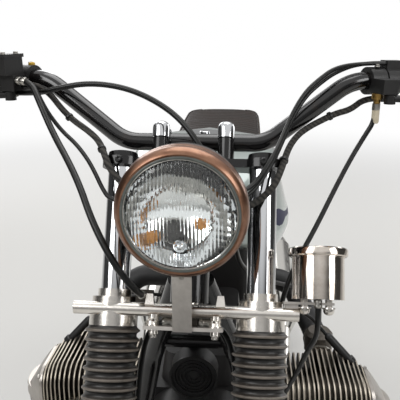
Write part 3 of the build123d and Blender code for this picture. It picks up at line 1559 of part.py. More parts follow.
# Wiring from the bar into the headlight's shell: five cables, each to its own place.
switch_top = beside_bar(1, housing_start + housing_length + seat_gap, -3.5, wire_up)
along_left = bar_frame(1)[1]
along_right = bar_frame(-1)[1]
loom_start = beside_bar(1, housing_start + housing_length + seat_gap, -4, -26)
lamp_loom_start = beside_bar(-1, perch_end + seat_gap, 17.5, -8)
lamp_wire_start = beside_bar(-1, perch_end + seat_gap, 28, -9)
second_wire = Vector(-1, -5, 7)
upper_bends = (
    switch_top + along_left * 36, Vector(199, -301, 1064), Vector(174, -313, 1047),
    Vector(155, -326, 1031), Vector(137, -346, 1004), Vector(124, -372, 978), Vector(110, -402, 954),
)
wiring_routes = (
    ((switch_top,) + upper_bends + (beside_lamp(1, 3, 25), beside_lamp(1, 3, seat_gap)), wire_radius),
    (
        (switch_top + bar_frame(1)[2] * 8, upper_bends[0] + bar_frame(1)[2] * 8)
        + tuple(bend + second_wire for bend in upper_bends[1:])
        + (beside_lamp(1, 12, 25), beside_lamp(1, 12, seat_gap)),
        wire_radius,
    ),
    (
        (loom_start, loom_start + along_left * 24, (225, -297, 1010), (202, -304, 1005),
         (180, -315, 996), (164, -327, 990), (146, -341, 980), (132, -362, 965),
         (122, -400, 945), (110, -420, 922), beside_lamp(1, -11, 25), beside_lamp(1, -11, seat_gap)),
        loom_radius,
    ),
    (
        (lamp_loom_start, lamp_loom_start + along_right * 18, (-214, -317, 1031), (-196, -328, 1012),
         (-175, -340, 996), (-150, -354, 984), (-131, -370, 973), (-118, -396, 960),
         (-107, -416, 944), beside_lamp(-1, 10, 25), beside_lamp(-1, 10, seat_gap)),
        loom_radius,
    ),
    (
        (lamp_wire_start, lamp_wire_start + along_right * 17, (-227, -335, 1036), (-218, -343, 1022),
         (-207, -347, 1004), (-188, -353, 982),
         (-166, -366, 968), (-146, -382, 950), (-131, -400, 934), (-119, -414, 917),
         (-107, -425, 905), beside_lamp(-1, -8, 25), beside_lamp(-1, -8, seat_gap)),
        wire_radius,
    ),
)
wiring_pieces = [cable("wiring", route, radius) for route, radius in wiring_routes]
with BuildPart() as bar_wiring:
    for piece in wiring_pieces:
        add(piece)
bar_wiring.part.label = "bar_wiring"
export_step(bar_wiring.part, "parts/bar_wiring.step")

# Throttle cable: over the lamp, down beside the head and under the tank to a carburettor.
throttle_radius = 4.0
throttle_start = beside_bar(-1, housing_start + housing_length + seat_gap, 22, -20)
chamber = Vector(port_x, carburettor_y(1) + carburettor_length / 2, chamber_top + seat_gap)
throttle_route = (
    throttle_start, throttle_start + along_right * 20, (-222, -326, 1034), (-199, -332, 1041),
    (-150, -341, 1050), (-100, -351, 1046), (-58, -361, 1032), (-20, -375, 1010), (8, -396, 982),
    (26, -408, 950),
    (42, -400, 915), (54, -383, 878), (60, -350, 832), (63, -312, 786), (72, -262, 742),
    (95, -200, 698), (140, -130, 650), (195, -65, 612), (236, -24, 580),
    chamber + Vector(0, 0, 45), chamber,
)
with BuildPart() as throttle_cable:
    add(cable("throttle", throttle_route, throttle_radius))
throttle_cable.part.label = "throttle_cable"
export_step(throttle_cable.part, "parts/throttle_cable.step")

# Clutch cable: down ahead of the fork, over the left cylinder and back to the gearbox.
clutch_radius = 3.5
clutch_start = beside_bar(1, *adjuster_place, perch_bottom - 2 * seat_gap - adjuster_length)
clutch_stop = Vector(stop_x, stop_place[0] - 7 - seat_gap, stop_place[1])
clutch_route = (
    clutch_start, clutch_start - Vector(0, 0, 24), (244, -314, 974), (225, -330, 946),
    (203, -350, 908), (174, -382, 857), (148, -410, 818), (131, -432, 783), (126, -424, 742),
    (128, -398, 688), (121, -350, 616), (112, -290, 552), (108, -215, 520), (112, -130, 510),
    (116, -40, 500), (117, 30, 474), (114, 72, 438), clutch_stop - Vector(0, 28, 0), clutch_stop,
)
with BuildPart() as clutch_cable:
    add(cable("clutch", clutch_route, clutch_radius))
clutch_cable.part.label = "clutch_cable"
export_step(clutch_cable.part, "parts/clutch_cable.step")

# Gauge cable: down between the fork and the left cylinder, and back below it to the gearbox.
drive_centre = Vector(drive_face + seat_gap, *drive_place)
gauge_exit = on_fork(*gauge_place, gauge_bottom - seat_gap)
gauge_route = (
    gauge_exit, gauge_exit - fork.z_dir * 26, (172, -474, 738), (165, -446, 700), (157, -412, 643),
    (148, -378, 592), (140, -342, 540), (138, -310, 484), (142, -286, 424), (148, -270, 362),
    (150, -256, 304), (149, -218, 264), (146, -150, 250), (145, -70, 250), (148, 5, 254),
    (154, 75, 270), drive_centre + Vector(46, -12, 0), drive_centre + Vector(18, 0, 0), drive_centre,
)
with BuildPart() as gauge_cable:
    add(cable("gauge", gauge_route, clutch_radius))
gauge_cable.part.label = "gauge_cable"
export_step(gauge_cable.part, "parts/gauge_cable.step")
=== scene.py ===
import bpy
import bmesh
from math import cos, pi, radians, sin, sqrt, tau
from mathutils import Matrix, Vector


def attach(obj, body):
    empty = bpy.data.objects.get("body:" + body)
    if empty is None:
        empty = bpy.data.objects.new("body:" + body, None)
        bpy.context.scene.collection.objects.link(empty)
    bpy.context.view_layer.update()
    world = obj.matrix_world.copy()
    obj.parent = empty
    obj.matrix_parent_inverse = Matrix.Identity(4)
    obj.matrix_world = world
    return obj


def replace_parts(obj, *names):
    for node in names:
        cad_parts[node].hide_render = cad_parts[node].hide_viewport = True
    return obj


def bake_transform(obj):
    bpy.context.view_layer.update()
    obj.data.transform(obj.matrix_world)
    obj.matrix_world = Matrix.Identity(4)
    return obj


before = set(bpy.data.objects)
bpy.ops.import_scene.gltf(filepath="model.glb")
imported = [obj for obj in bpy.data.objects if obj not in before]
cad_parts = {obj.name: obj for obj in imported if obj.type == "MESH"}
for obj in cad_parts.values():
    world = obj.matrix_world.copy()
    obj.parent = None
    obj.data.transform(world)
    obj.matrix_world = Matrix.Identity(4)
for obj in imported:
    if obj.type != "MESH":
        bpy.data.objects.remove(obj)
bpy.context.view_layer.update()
scene = bpy.context.scene

# Studio: a plain pale floor and a white surround, lit by large soft lamps from above and
# from the sides. The camera stands in front at chest height, a little to the rider's left,
# and looks down at the headlight, as in the photograph.


def linear(code):
    """An sRGB hex colour as linear numbers with full opacity."""
    parts = [int(code[place:place + 2], 16) / 255 for place in (1, 3, 5)]
    straight = [c / 12.92 if c <= 0.04045 else ((c + 0.055) / 1.055) ** 2.4 for c in parts]
    return (*straight, 1.0)


def add(tree, kind, inputs=(), **settings):
    """Adds one shader node with its settings; each input is a value or another node's output."""
    made = tree.nodes.new("ShaderNode" + kind)
    for name, value in settings.items():
        setattr(made, name, value)
    for socket, value in dict(inputs).items():
        if isinstance(value, bpy.types.NodeSocket):
            tree.links.new(value, made.inputs[socket])
        else:
            made.inputs[socket].default_value = value
    return made


def material(name):
    """An empty node material and the place along the object that its patterns use."""
    made = bpy.data.materials.new(name)
    made.use_nodes = True
    made.node_tree.nodes.clear()
    place = add(made.node_tree, "TexCoord").outputs["Object"]
    return made, made.node_tree, place


surround = bpy.data.worlds.new("White_surround")
scene.world = surround
surround.use_nodes = True
sky = surround.node_tree
sky.nodes.clear()
ray = add(sky, "LightPath")
seen = add(sky, "Math", {0: ray.outputs["Is Camera Ray"], 1: ray.outputs["Is Transmission Ray"]},
           operation="MAXIMUM")
# metal and gloss paint see a pale ceiling, darker walls, and two paler panels in front and behind
facing = add(sky, "SeparateXYZ", {0: add(sky, "TexCoord").outputs["Generated"]})
round_room = add(sky, "Math", {0: facing.outputs["X"], 1: facing.outputs["Y"]}, operation="ARCTAN2")
doubled = add(sky, "Math", {0: round_room.outputs[0], 1: 2.0}, operation="MULTIPLY")
panels = add(sky, "Math", {0: doubled.outputs[0]}, operation="COSINE")
wall = add(sky, "MapRange", {0: panels.outputs[0], 1: 0.1, 2: 0.95, 3: 0.05, 4: 0.34})
up = add(sky, "MapRange", {0: facing.outputs["Z"], 1: 0.40, 2: 0.58, 3: 0.0, 4: 1.0},
         interpolation_type="SMOOTHSTEP")
room = add(sky, "Mix", {0: up.outputs[0], 2: wall.outputs[0], 3: 0.86})
glossy = add(sky, "Mix", {0: ray.outputs["Is Glossy Ray"], 2: 0.42, 3: room.outputs[0]})
level = add(sky, "Mix", {0: seen.outputs[0], 2: glossy.outputs[0], 3: 1.0})
light = add(sky, "Background", {"Color": linear("#FFFFFF"), "Strength": level.outputs[0]})
add(sky, "OutputWorld", {"Surface": light.outputs[0]})

floor_stuff, tree, place = material("Pale_studio_floor")
# pale matt paint that fades into the white surround from 1.8 m to 5.5 m out, with no edge
near = add(tree, "BsdfPrincipled", {"Base Color": linear("#D6D5D2"), "Roughness": 0.8})
far = add(tree, "Emission", {"Color": linear("#FFFFFF"), "Strength": 1.0})
reach = add(tree, "VectorMath", {0: place}, operation="LENGTH")
away = add(tree, "MapRange", {0: reach.outputs["Value"], 1: 1.8, 2: 5.5, 3: 0.0, 4: 1.0},
           interpolation_type="SMOOTHSTEP")
ray = add(tree, "LightPath")
plain = add(tree, "Math", {0: away.outputs[0], 1: ray.outputs["Is Camera Ray"]},
            operation="MULTIPLY")
shown = add(tree, "MixShader", {0: plain.outputs[0], 1: near.outputs[0], 2: far.outputs[0]})
add(tree, "OutputMaterial", {"Surface": shown.outputs[0]})
floor_half, floor_drop = 9.0, 0.0005
bm = bmesh.new()
for x, y in ((-1, -1), (1, -1), (1, 1), (-1, 1)):
    bm.verts.new((x * floor_half, y * floor_half, -floor_drop))
bm.faces.new(bm.verts)
floor_mesh = bpy.data.meshes.new("studio_floor")
bm.to_mesh(floor_mesh)
bm.free()
studio_floor = bpy.data.objects.new("studio_floor", floor_mesh)
scene.collection.objects.link(studio_floor)
floor_mesh.materials.append(floor_stuff)

# place, point that it lights, width, watts
for number, (place, target, width, watts) in enumerate((
    ((-2.3, -2.6, 3.0), (0, -0.2, 0.6), 2.2, 62),
    ((2.8, -1.9, 2.2), (0, -0.2, 0.6), 1.4, 30),
    ((0.2, 0.6, 3.6), (0, 0.1, 0.5), 2.4, 44),
    ((-1.8, 3.2, 2.2), (0, 0.4, 0.5), 2.0, 36),
    ((2.6, 2.4, 1.6), (0, 0.2, 0.5), 1.6, 24),
)):
    lamp = bpy.data.lights.new(f"softbox_{number}", "AREA")
    lamp.shape = "SQUARE"
    lamp.size = width
    lamp.energy = watts
    holder = bpy.data.objects.new(f"softbox_{number}", lamp)
    holder.location = place
    holder.rotation_euler = (Vector(target) - Vector(place)).to_track_quat("-Z", "Y").to_euler()
    scene.collection.objects.link(holder)

film_width, focal_pixels, picture_pixels = 36.0, 576, 400
lens = bpy.data.cameras.new("photo_camera")
lens.sensor_width = film_width
lens.lens = film_width * focal_pixels / picture_pixels
camera = bpy.data.objects.new("photo_camera", lens)
camera.location = (0.071, -1.151, 1.134)
turn, dip = radians(-4.43), radians(17.32)
looking = Vector((sin(turn) * cos(dip), cos(turn) * cos(dip), -sin(dip)))
camera.rotation_euler = looking.to_track_quat("-Z", "Y").to_euler()
scene.collection.objects.link(camera)
scene.camera = camera
scene.view_settings.view_transform = "Standard"

# Tyres: two vulcanised rubber covers on tube-type rims. The front has a ribbed tread and the
# rear a block tread, cut 5 mm deep, with a fine raised line on each sidewall.
front_axle = Vector((0, -0.7295, 0.331))
rear_axle = Vector((0, 0.7355, 0.345))
tread_depth = 0.005


def piece(name, bm, body, stuff, sharp=32):
    """Turns a mesh into a named piece of one material that rides on a body."""
    bmesh.ops.recalc_face_normals(bm, faces=bm.faces)
    mesh = bpy.data.meshes.new(name)
    bm.to_mesh(mesh)
    bm.free()
    mesh.polygons.foreach_set("use_smooth", [True] * len(mesh.polygons))
    mesh.set_sharp_from_angle(angle=radians(sharp))
    mesh.materials.append(stuff)
    made = bpy.data.objects.new(name, mesh)
    scene.collection.objects.link(made)
    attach(made, body)
    return made


def join_rings(bm, rings, index=0):
    """Joins each ring of points to the next with faces, all of one of the piece's materials."""
    for low, up in zip(rings, rings[1:]):
        for step in range(len(low)):
            after = (step + 1) % len(low)
            face = bm.faces.new((low[step], low[after], up[after], up[step]))
            face.material_index = index


def arc(start, middle, end, count):
    """Points along the circle through three points of a section."""
    (x1, y1), (x2, y2), (x3, y3) = start, middle, end
    d = 2 * (x1 * (y2 - y3) + x2 * (y3 - y1) + x3 * (y1 - y2))
    a, b, c = x1 * x1 + y1 * y1, x2 * x2 + y2 * y2, x3 * x3 + y3 * y3
    centre = Vector(((a * (y2 - y3) + b * (y3 - y1) + c * (y1 - y2)) / d,
                     (a * (x3 - x2) + b * (x1 - x3) + c * (x2 - x1)) / d))
    first, last = Vector(start) - centre, Vector(end) - centre
    between = Vector(middle) - centre
    sweep = first.angle_signed(between) + between.angle_signed(last)
    spots = []
    for step in range(count + 1):
        angle = -sweep * step / count
        spots.append(centre + Vector((first.x * cos(angle) - first.y * sin(angle),
                                      first.x * sin(angle) + first.y * cos(angle))))
    return spots


rubber, tree, place = material("Vulcanised_tyre_rubber")
# a dusty black with 1.5 mm mottling; dry rubber scatters light and has hardly any gloss
mottle = add(tree, "TexNoise", {"Vector": place, "Scale": 650.0, "Detail": 3.0})
dust = add(tree, "TexNoise", {"Vector": place, "Scale": 14.0, "Detail": 4.0})
tone = add(tree, "Mix", {0: dust.outputs[0], 6: linear("#17171A"), 7: linear("#343231")},
           data_type="RGBA")
rough = add(tree, "MapRange", {0: mottle.outputs[0], 3: 0.62, 4: 0.86})
grain = add(tree, "Bump", {"Height": mottle.outputs[0], "Strength": 0.25, "Distance": 0.0006})
shader = add(tree, "BsdfPrincipled", {"Base Color": tone.outputs[2], "Roughness": rough.outputs[0],
                                      "Normal": grain.outputs[0]})
add(tree, "OutputMaterial", {"Surface": shader.outputs[0]})

around, crown_steps, wall_steps = 640, 40, 14
zigzags = (-0.62, -0.22, 0.22, 0.62)
# name, axle, radius of tread, width, radius of bead, and whether the tread is cut in blocks
for name, centre, radius, width, bead, block in (
    ("front", front_axle, 0.331, 0.100, 0.2413, False),
    ("rear", rear_axle, 0.325, 0.112, 0.2286, True),
):
    bead_seat = 0.0035
    rim_half, wall_half = width * 0.36, width / 2 - 0.0006
    bead_half = rim_half - bead_seat
    lip, bulge, shoulder = bead + 0.012, bead + (radius - bead) * 0.52, radius - 0.013
    section = [Vector((bead_half, bead + bead_seat)), Vector((bead_half, lip))]
    section += arc((bead_half, lip), (wall_half, bulge), (rim_half, shoulder), wall_steps)[1:]
    crown_start = len(section)
    section += arc((rim_half, shoulder), (0, radius), (-rim_half, shoulder), crown_steps)[1:]
    crown_end = len(section) - 1
    section += arc((-rim_half, shoulder), (-wall_half, bulge), (-bead_half, lip), wall_steps)[1:]
    section += [Vector((-bead_half, bead + bead_seat))]
    bm = bmesh.new()
    rings = []
    for step in range(around):
        angle = tau * step / around
        ring = []
        for number, point in enumerate(section):
            r = point.y
            across = point.x / rim_half
            if crown_start <= number < crown_end:
                if block:
                    # a groove across every 16 steps, shifted in the outer rows, and four round
                    shift = 4 if abs(across) > 0.36 else 0
                    cut = (step + shift) % 16 < 3 and abs(across) > 0.05
                    cut = cut or 0.31 < abs(across) < 0.4 or 0.68 < abs(across) < 0.76
                else:
                    # four zigzag grooves round the tyre, and short cuts at its shoulders
                    wave = 0.05 if (step // 8) % 2 else -0.05
                    cut = any(abs(across - line - wave) < 0.035 for line in zigzags)
                    cut = cut or (abs(across) > 0.74 and step % 10 < 2)
                if cut:
                    r -= tread_depth
            elif abs(r - bulge - 0.014) < 0.0025:
                # the fine raised line on the sidewall
                r += 0.0004
            spot = Vector((point.x, r * sin(angle), r * cos(angle)))
            ring.append(bm.verts.new(centre + spot))
        rings.append(ring)
    join_rings(bm, rings + rings[:1])
    tyre = piece(f"{name}_tyre_cover", bm, f"{name}_wheel", rubber, 24)
    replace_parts(tyre, f"{name}_tyre")

# Wheels: rolled aluminium rims laced with 36 stainless spokes to cast hubs, polished by hand.
# Plated nipples seat the spokes in the rim, and a tube valve stands through it.


def spun(bm, outline, start, way, count):
    """The rings of points of an outline, of radius and height, that is spun about an axis."""
    facing = Vector(way).to_track_quat("Z", "Y").to_matrix()
    rings = []
    for radius, height in outline:
        ring = []
        for step in range(count):
            angle = tau * step / count
            spot = facing @ Vector((radius * cos(angle), radius * sin(angle), height))
            ring.append(bm.verts.new(Vector(start) + spot))
        rings.append(ring)
    return rings


def closed(bm, rings, index=0):
    """Joins rings of points with faces and closes the first and the last ring."""
    join_rings(bm, rings, index)
    for end in (list(reversed(rings[0])), rings[-1]):
        bm.faces.new(end).material_index = index


def turned(bm, outline, start, way, count=32):
    """Adds a solid turned shape to a mesh."""
    closed(bm, spun(bm, outline, start, way, count))


def dress(stuff, *nodes):
    """Gives CAD nodes a material in all their slots."""
    for name in nodes:
        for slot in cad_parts[name].material_slots:
            slot.material = stuff


polished, tree, place = material("Polished_aluminium")
# polished alloy: a bright metal with soft 8 mm clouding and hairlines about 1 mm apart
cloud = add(tree, "TexNoise", {"Vector": place, "Scale": 120.0, "Detail": 5.0})
hair = add(tree, "TexNoise", {"Vector": place, "Scale": 900.0, "Detail": 2.0})
tone = add(tree, "Mix", {0: cloud.outputs[0], 6: linear("#B9B8B4"), 7: linear("#DAD9D6")},
           data_type="RGBA")
rough = add(tree, "MapRange", {0: cloud.outputs[0], 1: 0.3, 2: 0.7, 3: 0.12, 4: 0.3})
grain = add(tree, "Bump", {"Height": hair.outputs[0], "Strength": 0.06, "Distance": 0.0004})
shader = add(tree, "BsdfPrincipled", {"Base Color": tone.outputs[2], "Metallic": 1.0,
                                      "Roughness": rough.outputs[0], "Normal": grain.outputs[0]})
add(tree, "OutputMaterial", {"Surface": shader.outputs[0]})
dress(polished, "front_wheel", "rear_wheel")

nickel, tree, place = material("Nickel_plated_steel")
# plated fasteners: neutral bright metal, dulled in 3 mm patches by handling
wear = add(tree, "TexNoise", {"Vector": place, "Scale": 330.0, "Detail": 4.0})
tone = add(tree, "Mix", {0: wear.outputs[0], 6: linear("#8E8B85"), 7: linear("#C9C6BF")},
           data_type="RGBA")
rough = add(tree, "MapRange", {0: wear.outputs[0], 3: 0.18, 4: 0.45})
shader = add(tree, "BsdfPrincipled", {"Base Color": tone.outputs[2], "Metallic": 1.0,
                                      "Roughness": rough.outputs[0]})
add(tree, "OutputMaterial", {"Surface": shader.outputs[0]})

nipple = ((0.0026, -0.002), (0.0034, 0.0), (0.0034, 0.010), (0.0028, 0.0115))
valve = ((0.0042, -0.004), (0.0042, 0.006), (0.0028, 0.0065), (0.0028, 0.024), (0.004, 0.0245),
         (0.004, 0.033), (0.003, 0.034))
spokes_a_side, spoke_lead, nipple_seat = 18, 48, 0.004
# body, axle, inner radius of the rim, and each hub flange's place across and its radius
for body, centre, inner, flanges in (
    ("front_wheel", front_axle, 0.2253, ((-0.030, 0.046), (0.030, 0.046))),
    ("rear_wheel", rear_axle, 0.2126, ((-0.0365, 0.102), (0.032, 0.050))),
):
    bm = bmesh.new()
    for flange_x, flange_radius in flanges:
        for number in range(spokes_a_side):
            lead = 1 if number % 2 else -1
            early = 0.25 if flange_x > 0 else -0.25
            angle = radians((number + early) * 360 / spokes_a_side)
            hub_angle = angle + radians(lead * spoke_lead)
            hub = centre + Vector((flange_x + lead * 0.0015, flange_radius * cos(hub_angle),
                                   flange_radius * sin(hub_angle)))
            rim = centre + Vector((flange_x * 0.25, (inner + nipple_seat) * cos(angle),
                                   (inner + nipple_seat) * sin(angle)))
            way = (hub - rim).normalized()
            turned(bm, nipple, rim + way * 0.0045, way, 10)
    turned(bm, valve, centre + Vector((0, 0, inner)), (0.18, 0, -1), 12)
    piece(f"{body}_nipples", bm, body, nickel)

# Front brake discs: ground stainless steel rotors, bolted to the hub, with cast calipers
# behind the fork legs. Fine grinding lines run round the swept faces.
ground, tree, place = material("Ground_stainless_steel")
# grinding rings about 1 mm apart round the axle, with a worn bright track
offset = add(tree, "VectorMath", {0: place, 1: tuple(front_axle)}, operation="SUBTRACT")
parts = add(tree, "SeparateXYZ", {0: offset.outputs[0]})
flat = add(tree, "CombineXYZ", {0: 0.0, 1: parts.outputs[1], 2: parts.outputs[2]})
reach = add(tree, "VectorMath", {0: flat.outputs[0]}, operation="LENGTH")
lines = add(tree, "TexNoise", {"W": reach.outputs["Value"], "Scale": 1100.0, "Detail": 2.0},
            noise_dimensions="1D")
tone = add(tree, "Mix", {0: lines.outputs[0], 6: linear("#7F7D7A"), 7: linear("#B8B6B2")},
           data_type="RGBA")
grain = add(tree, "Bump", {"Height": lines.outputs[0], "Strength": 0.35, "Distance": 0.0003})
shader = add(tree, "BsdfPrincipled", {"Base Color": tone.outputs[2], "Metallic": 1.0,
                                      "Roughness": 0.3, "Normal": grain.outputs[0]})
add(tree, "OutputMaterial", {"Surface": shader.outputs[0]})
dress(ground, "front_brake_discs")

cast, tree, place = material("Bead_blasted_cast_aluminium")
# blasted castings: a matt warm grey with 22 mm clouds and a finely pitted skin
pits = add(tree, "TexNoise", {"Vector": place, "Scale": 1500.0, "Detail": 2.0})
cloud = add(tree, "TexNoise", {"Vector": place, "Scale": 45.0, "Detail": 6.0, "Roughness": 0.65})
tone = add(tree, "Mix", {0: cloud.outputs[0], 6: linear("#77716C"), 7: linear("#B3ADA7")},
           data_type="RGBA")
rough = add(tree, "MapRange", {0: cloud.outputs[0], 3: 0.38, 4: 0.58})
grain = add(tree, "Bump", {"Height": pits.outputs[0], "Strength": 0.3, "Distance": 0.0004})
shader = add(tree, "BsdfPrincipled", {"Base Color": tone.outputs[2], "Metallic": 0.9,
                                      "Roughness": rough.outputs[0], "Normal": grain.outputs[0]})
add(tree, "OutputMaterial", {"Surface": shader.outputs[0]})
dress(cast, "fork_sliders", "brake_calipers", "front_axle")


def bolts(name, places, radius, height, body, stuff, socket=False):
    """Bolt heads on washers, hexagonal or round with a hexagon socket, in one piece."""
    bm = bmesh.new()
    for start, way in places:
        way = Vector(way).normalized()
        washer = ((radius * 1.3, 0.0), (radius * 1.3, height * 0.16), (radius * 1.2, height * 0.24))
        turned(bm, washer, start, way, 24)
        if socket:
            head = ((radius, height * 0.2), (radius, height * 0.85), (radius * 0.88, height),
                    (radius * 0.5, height), (radius * 0.48, height * 0.5),
                    (radius * 0.05, height * 0.45))
            turned(bm, head, start, way, 24)
        else:
            head = ((radius, height * 0.2), (radius, height * 0.86), (radius * 0.84, height))
            turned(bm, head, start, way, 6)
    return piece(name, bm, body, stuff)


disc_face, bolt_circle, bolts_a_disc = 0.0569, 0.036, 6
hub_bolts = []
for side in (1, -1):
    for number in range(bolts_a_disc):
        angle = tau * number / bolts_a_disc
        spot = Vector((side * disc_face, bolt_circle * cos(angle), bolt_circle * sin(angle)))
        hub_bolts.append((front_axle + spot, (side, 0, 0)))
bolts("disc_bolts", hub_bolts, 0.0055, 0.006, "front_wheel", nickel, True)

# Fork: hard-chromed tubes slide in cast legs, under ribbed rubber gaiters that years of dust
# have greyed, with a painted highlight on their ribs. The upper bridge that clamps the tubes is a
# plate in black powder coat.
rake = radians(27.5)
fork_up = Vector((0, sin(rake), cos(rake)))
fork_back = Vector((0, cos(rake), -sin(rake)))
# the legs' centre lines in millimetres, across from the middle and behind the front axle
leg_across, leg_back = 98, 35


def on_fork(across, back, along):
    """A point in millimetres across, behind and along the fork from the front axle."""
    level = front_axle + Vector((across / 1000, 0, 0))
    return level + fork_back * back / 1000 + fork_up * along / 1000


chrome, tree, place = material("Hard_chromed_steel")
# hard chrome: a near mirror, with faint streaks along the tube about 4 mm apart
stretch = add(tree, "Mapping", {"Vector": place, "Scale": (240.0, 12.0, 6.0)})
streak = add(tree, "TexNoise", {"Vector": stretch.outputs[0], "Scale": 1.0, "Detail": 3.0})
rough = add(tree, "MapRange", {0: streak.outputs[0], 1: 0.35, 2: 0.75, 3: 0.05, 4: 0.13})
shader = add(tree, "BsdfPrincipled", {"Base Color": linear("#D3D4D6"), "Metallic": 1.0,
                                      "Roughness": rough.outputs[0]})
add(tree, "OutputMaterial", {"Surface": shader.outputs[0]})
dress(chrome, "fork_tubes")

dusty_highlit_rubber, tree, place = material("Dusty_rubber_painted_highlight")
# old rubber bellows: soft black, and grey-brown dust with a painted highlight on what faces upward
facing = add(tree, "SeparateXYZ", {0: add(tree, "NewGeometry").outputs["Normal"]})
patch = add(tree, "TexNoise", {"Vector": place, "Scale": 60.0, "Detail": 6.0, "Roughness": 0.7})
lying = add(tree, "MapRange", {0: facing.outputs["Z"], 1: 0.42, 2: 0.95, 3: 0.03, 4: 0.42})
amount = add(tree, "Math", {0: lying.outputs[0], 1: patch.outputs[0]}, operation="MULTIPLY")
tone = add(tree, "Mix", {0: amount.outputs[0], 6: linear("#0B0B0B"), 7: linear("#6F675F")},
           data_type="RGBA")
rough = add(tree, "MapRange", {0: patch.outputs[0], 3: 0.28, 4: 0.5})
grain = add(tree, "Bump", {"Height": patch.outputs[0], "Strength": 0.2, "Distance": 0.0008})
shader = add(tree, "BsdfPrincipled", {"Base Color": tone.outputs[2], "Roughness": rough.outputs[0],
                                      "Normal": grain.outputs[0]})
add(tree, "OutputMaterial", {"Surface": shader.outputs[0]})
crest_highlight_rubber, tree, place = material("Rubber_crests_painted_highlight")
# the ribs' crests, paler grey-brown from dust and cleaning rags and from a painted highlight, with
# a soft shine
smear = add(tree, "TexNoise", {"Vector": place, "Scale": 70.0, "Detail": 5.0, "Roughness": 0.65})
tone = add(tree, "Mix", {0: smear.outputs[0], 6: linear("#38342F"), 7: linear("#877E74")},
           data_type="RGBA")
shader = add(tree, "BsdfPrincipled", {"Base Color": tone.outputs[2], "Roughness": 0.42})
add(tree, "OutputMaterial", {"Surface": shader.outputs[0]})
bm = bmesh.new()
around, ribs, per_rib, rib_pitch = 96, 20, 14, 0.0123
bore, valley, rib_height, crest_from = 0.0298, 0.0320, 0.0046, 0.0352
for x in (-leg_across, leg_across):
    outline = [(bore, 0.226), (0.0325, 0.226), (0.0325, 0.2375)]
    for step in range(ribs * per_rib + 1):
        wave = (0.5 - 0.5 * cos(tau * step / per_rib)) ** 1.9
        outline.append((valley + rib_height * wave, 0.238 + rib_pitch * step / per_rib))
    outline += [(bore, 0.4842)]
    rings = []
    for radius, height in outline:
        start = on_fork(x, leg_back, height * 1000)
        ring = []
        for step in range(around):
            angle = tau * step / around
            spot = Vector((cos(angle), 0, 0)) * radius - fork_back * radius * sin(angle)
            ring.append(bm.verts.new(start + spot))
        rings.append(ring)
    for (low, _), (high, _), *pair in zip(outline, outline[1:], rings, rings[1:]):
        # the crests take the paler material, which holds their painted highlight
        join_rings(bm, pair, 1 if (low + high) / 2 > crest_from else 0)
gaiters = piece("fork_bellows", bm, "steering", dusty_highlit_rubber, 60)
gaiters.data.materials.append(crest_highlight_rubber)
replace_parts(gaiters, "fork_gaiters")

powder, tree, place = material("Gloss_black_powder_coat")
# powder coat over steel: deep gloss with 3 mm orange peel and a little settled dust
peel = add(tree, "TexNoise", {"Vector": place, "Scale": 320.0, "Detail": 1.0})
film = add(tree, "TexNoise", {"Vector": place, "Scale": 22.0, "Detail": 6.0, "Roughness": 0.7})
tone = add(tree, "Mix", {0: film.outputs[0], 6: linear("#080809"), 7: linear("#171616")},
           data_type="RGBA")
rough = add(tree, "MapRange", {0: film.outputs[0], 1: 0.35, 2: 0.75, 3: 0.14, 4: 0.34})
grain = add(tree, "Bump", {"Height": peel.outputs[0], "Strength": 0.06, "Distance": 0.0005})
shader = add(tree, "BsdfPrincipled", {"Base Color": tone.outputs[2], "Roughness": rough.outputs[0],
                                      "Normal": grain.outputs[0], "Specular IOR Level": 0.3,
                                      "Coat Weight": 0.3, "Coat Roughness": 0.08})
add(tree, "OutputMaterial", {"Surface": shader.outputs[0]})
dress(powder, "upper_bridge", "backbone", "cradle", "seat_rails", "swinging_arm", "centre_stand",
      "headlight_shell", "rear_mudguard", "front_mudguard", "foot_pegs")

pinch = [(on_fork(side * leg_across, leg_back - 28.2, 706), -fork_back) for side in (1, -1)]
bolts("upper_bridge_screws", pinch, 0.0042, 0.005, "steering", powder, True)
leg_nuts = [(on_fork(x, leg_back - 29.0, level), -fork_back)
            for x in (-leg_across, leg_across) for level in (34, 214)]
bolts("leg_nuts", leg_nuts, 0.0045, 0.005, "steering", nickel)
clips = bmesh.new()
for x in (-leg_across, leg_across):
    turned(clips, ((0.0318, 0), (0.0334, 0.001), (0.0334, 0.006), (0.0318, 0.007)),
           on_fork(x, leg_back, 228.5), fork_up, 48)
piece("gaiter_clips", clips, "steering", nickel)

# Handlebar and controls: a bent steel tube in gloss black, ribbed rubber grips, die-cast
# housings in satin black and cast levers. The clamps' pillars end in polished domed caps.
# for each side the bar's end, and the ways inboard, ahead and up from there
bar = {}
for side in (1, -1):
    end, bend = on_fork(side * 400, 118, 868), on_fork(side * 222, 50, 838)
    inboard = (bend - end).normalized()
    ahead = Vector((-side * inboard.y, side * inboard.x, 0)).normalized()
    bar[side] = (end, inboard, ahead, inboard.cross(ahead) * side)


def beside_bar(side, inboard, forward, up):
    """A point near a bar end, in millimetres in from it, ahead of it and above it."""
    end, along, ahead, above = bar[side]
    return end + (along * inboard + ahead * forward + above * up) / 1000


def ringed(bm, outline, start, way, count=64):
    """Adds a closed ring to a mesh: an outline that goes round and is spun about an axis."""
    rings = spun(bm, outline, start, way, count)
    join_rings(bm, rings + rings[:1])


lacquer, tree, place = material("Gloss_black_lacquer")
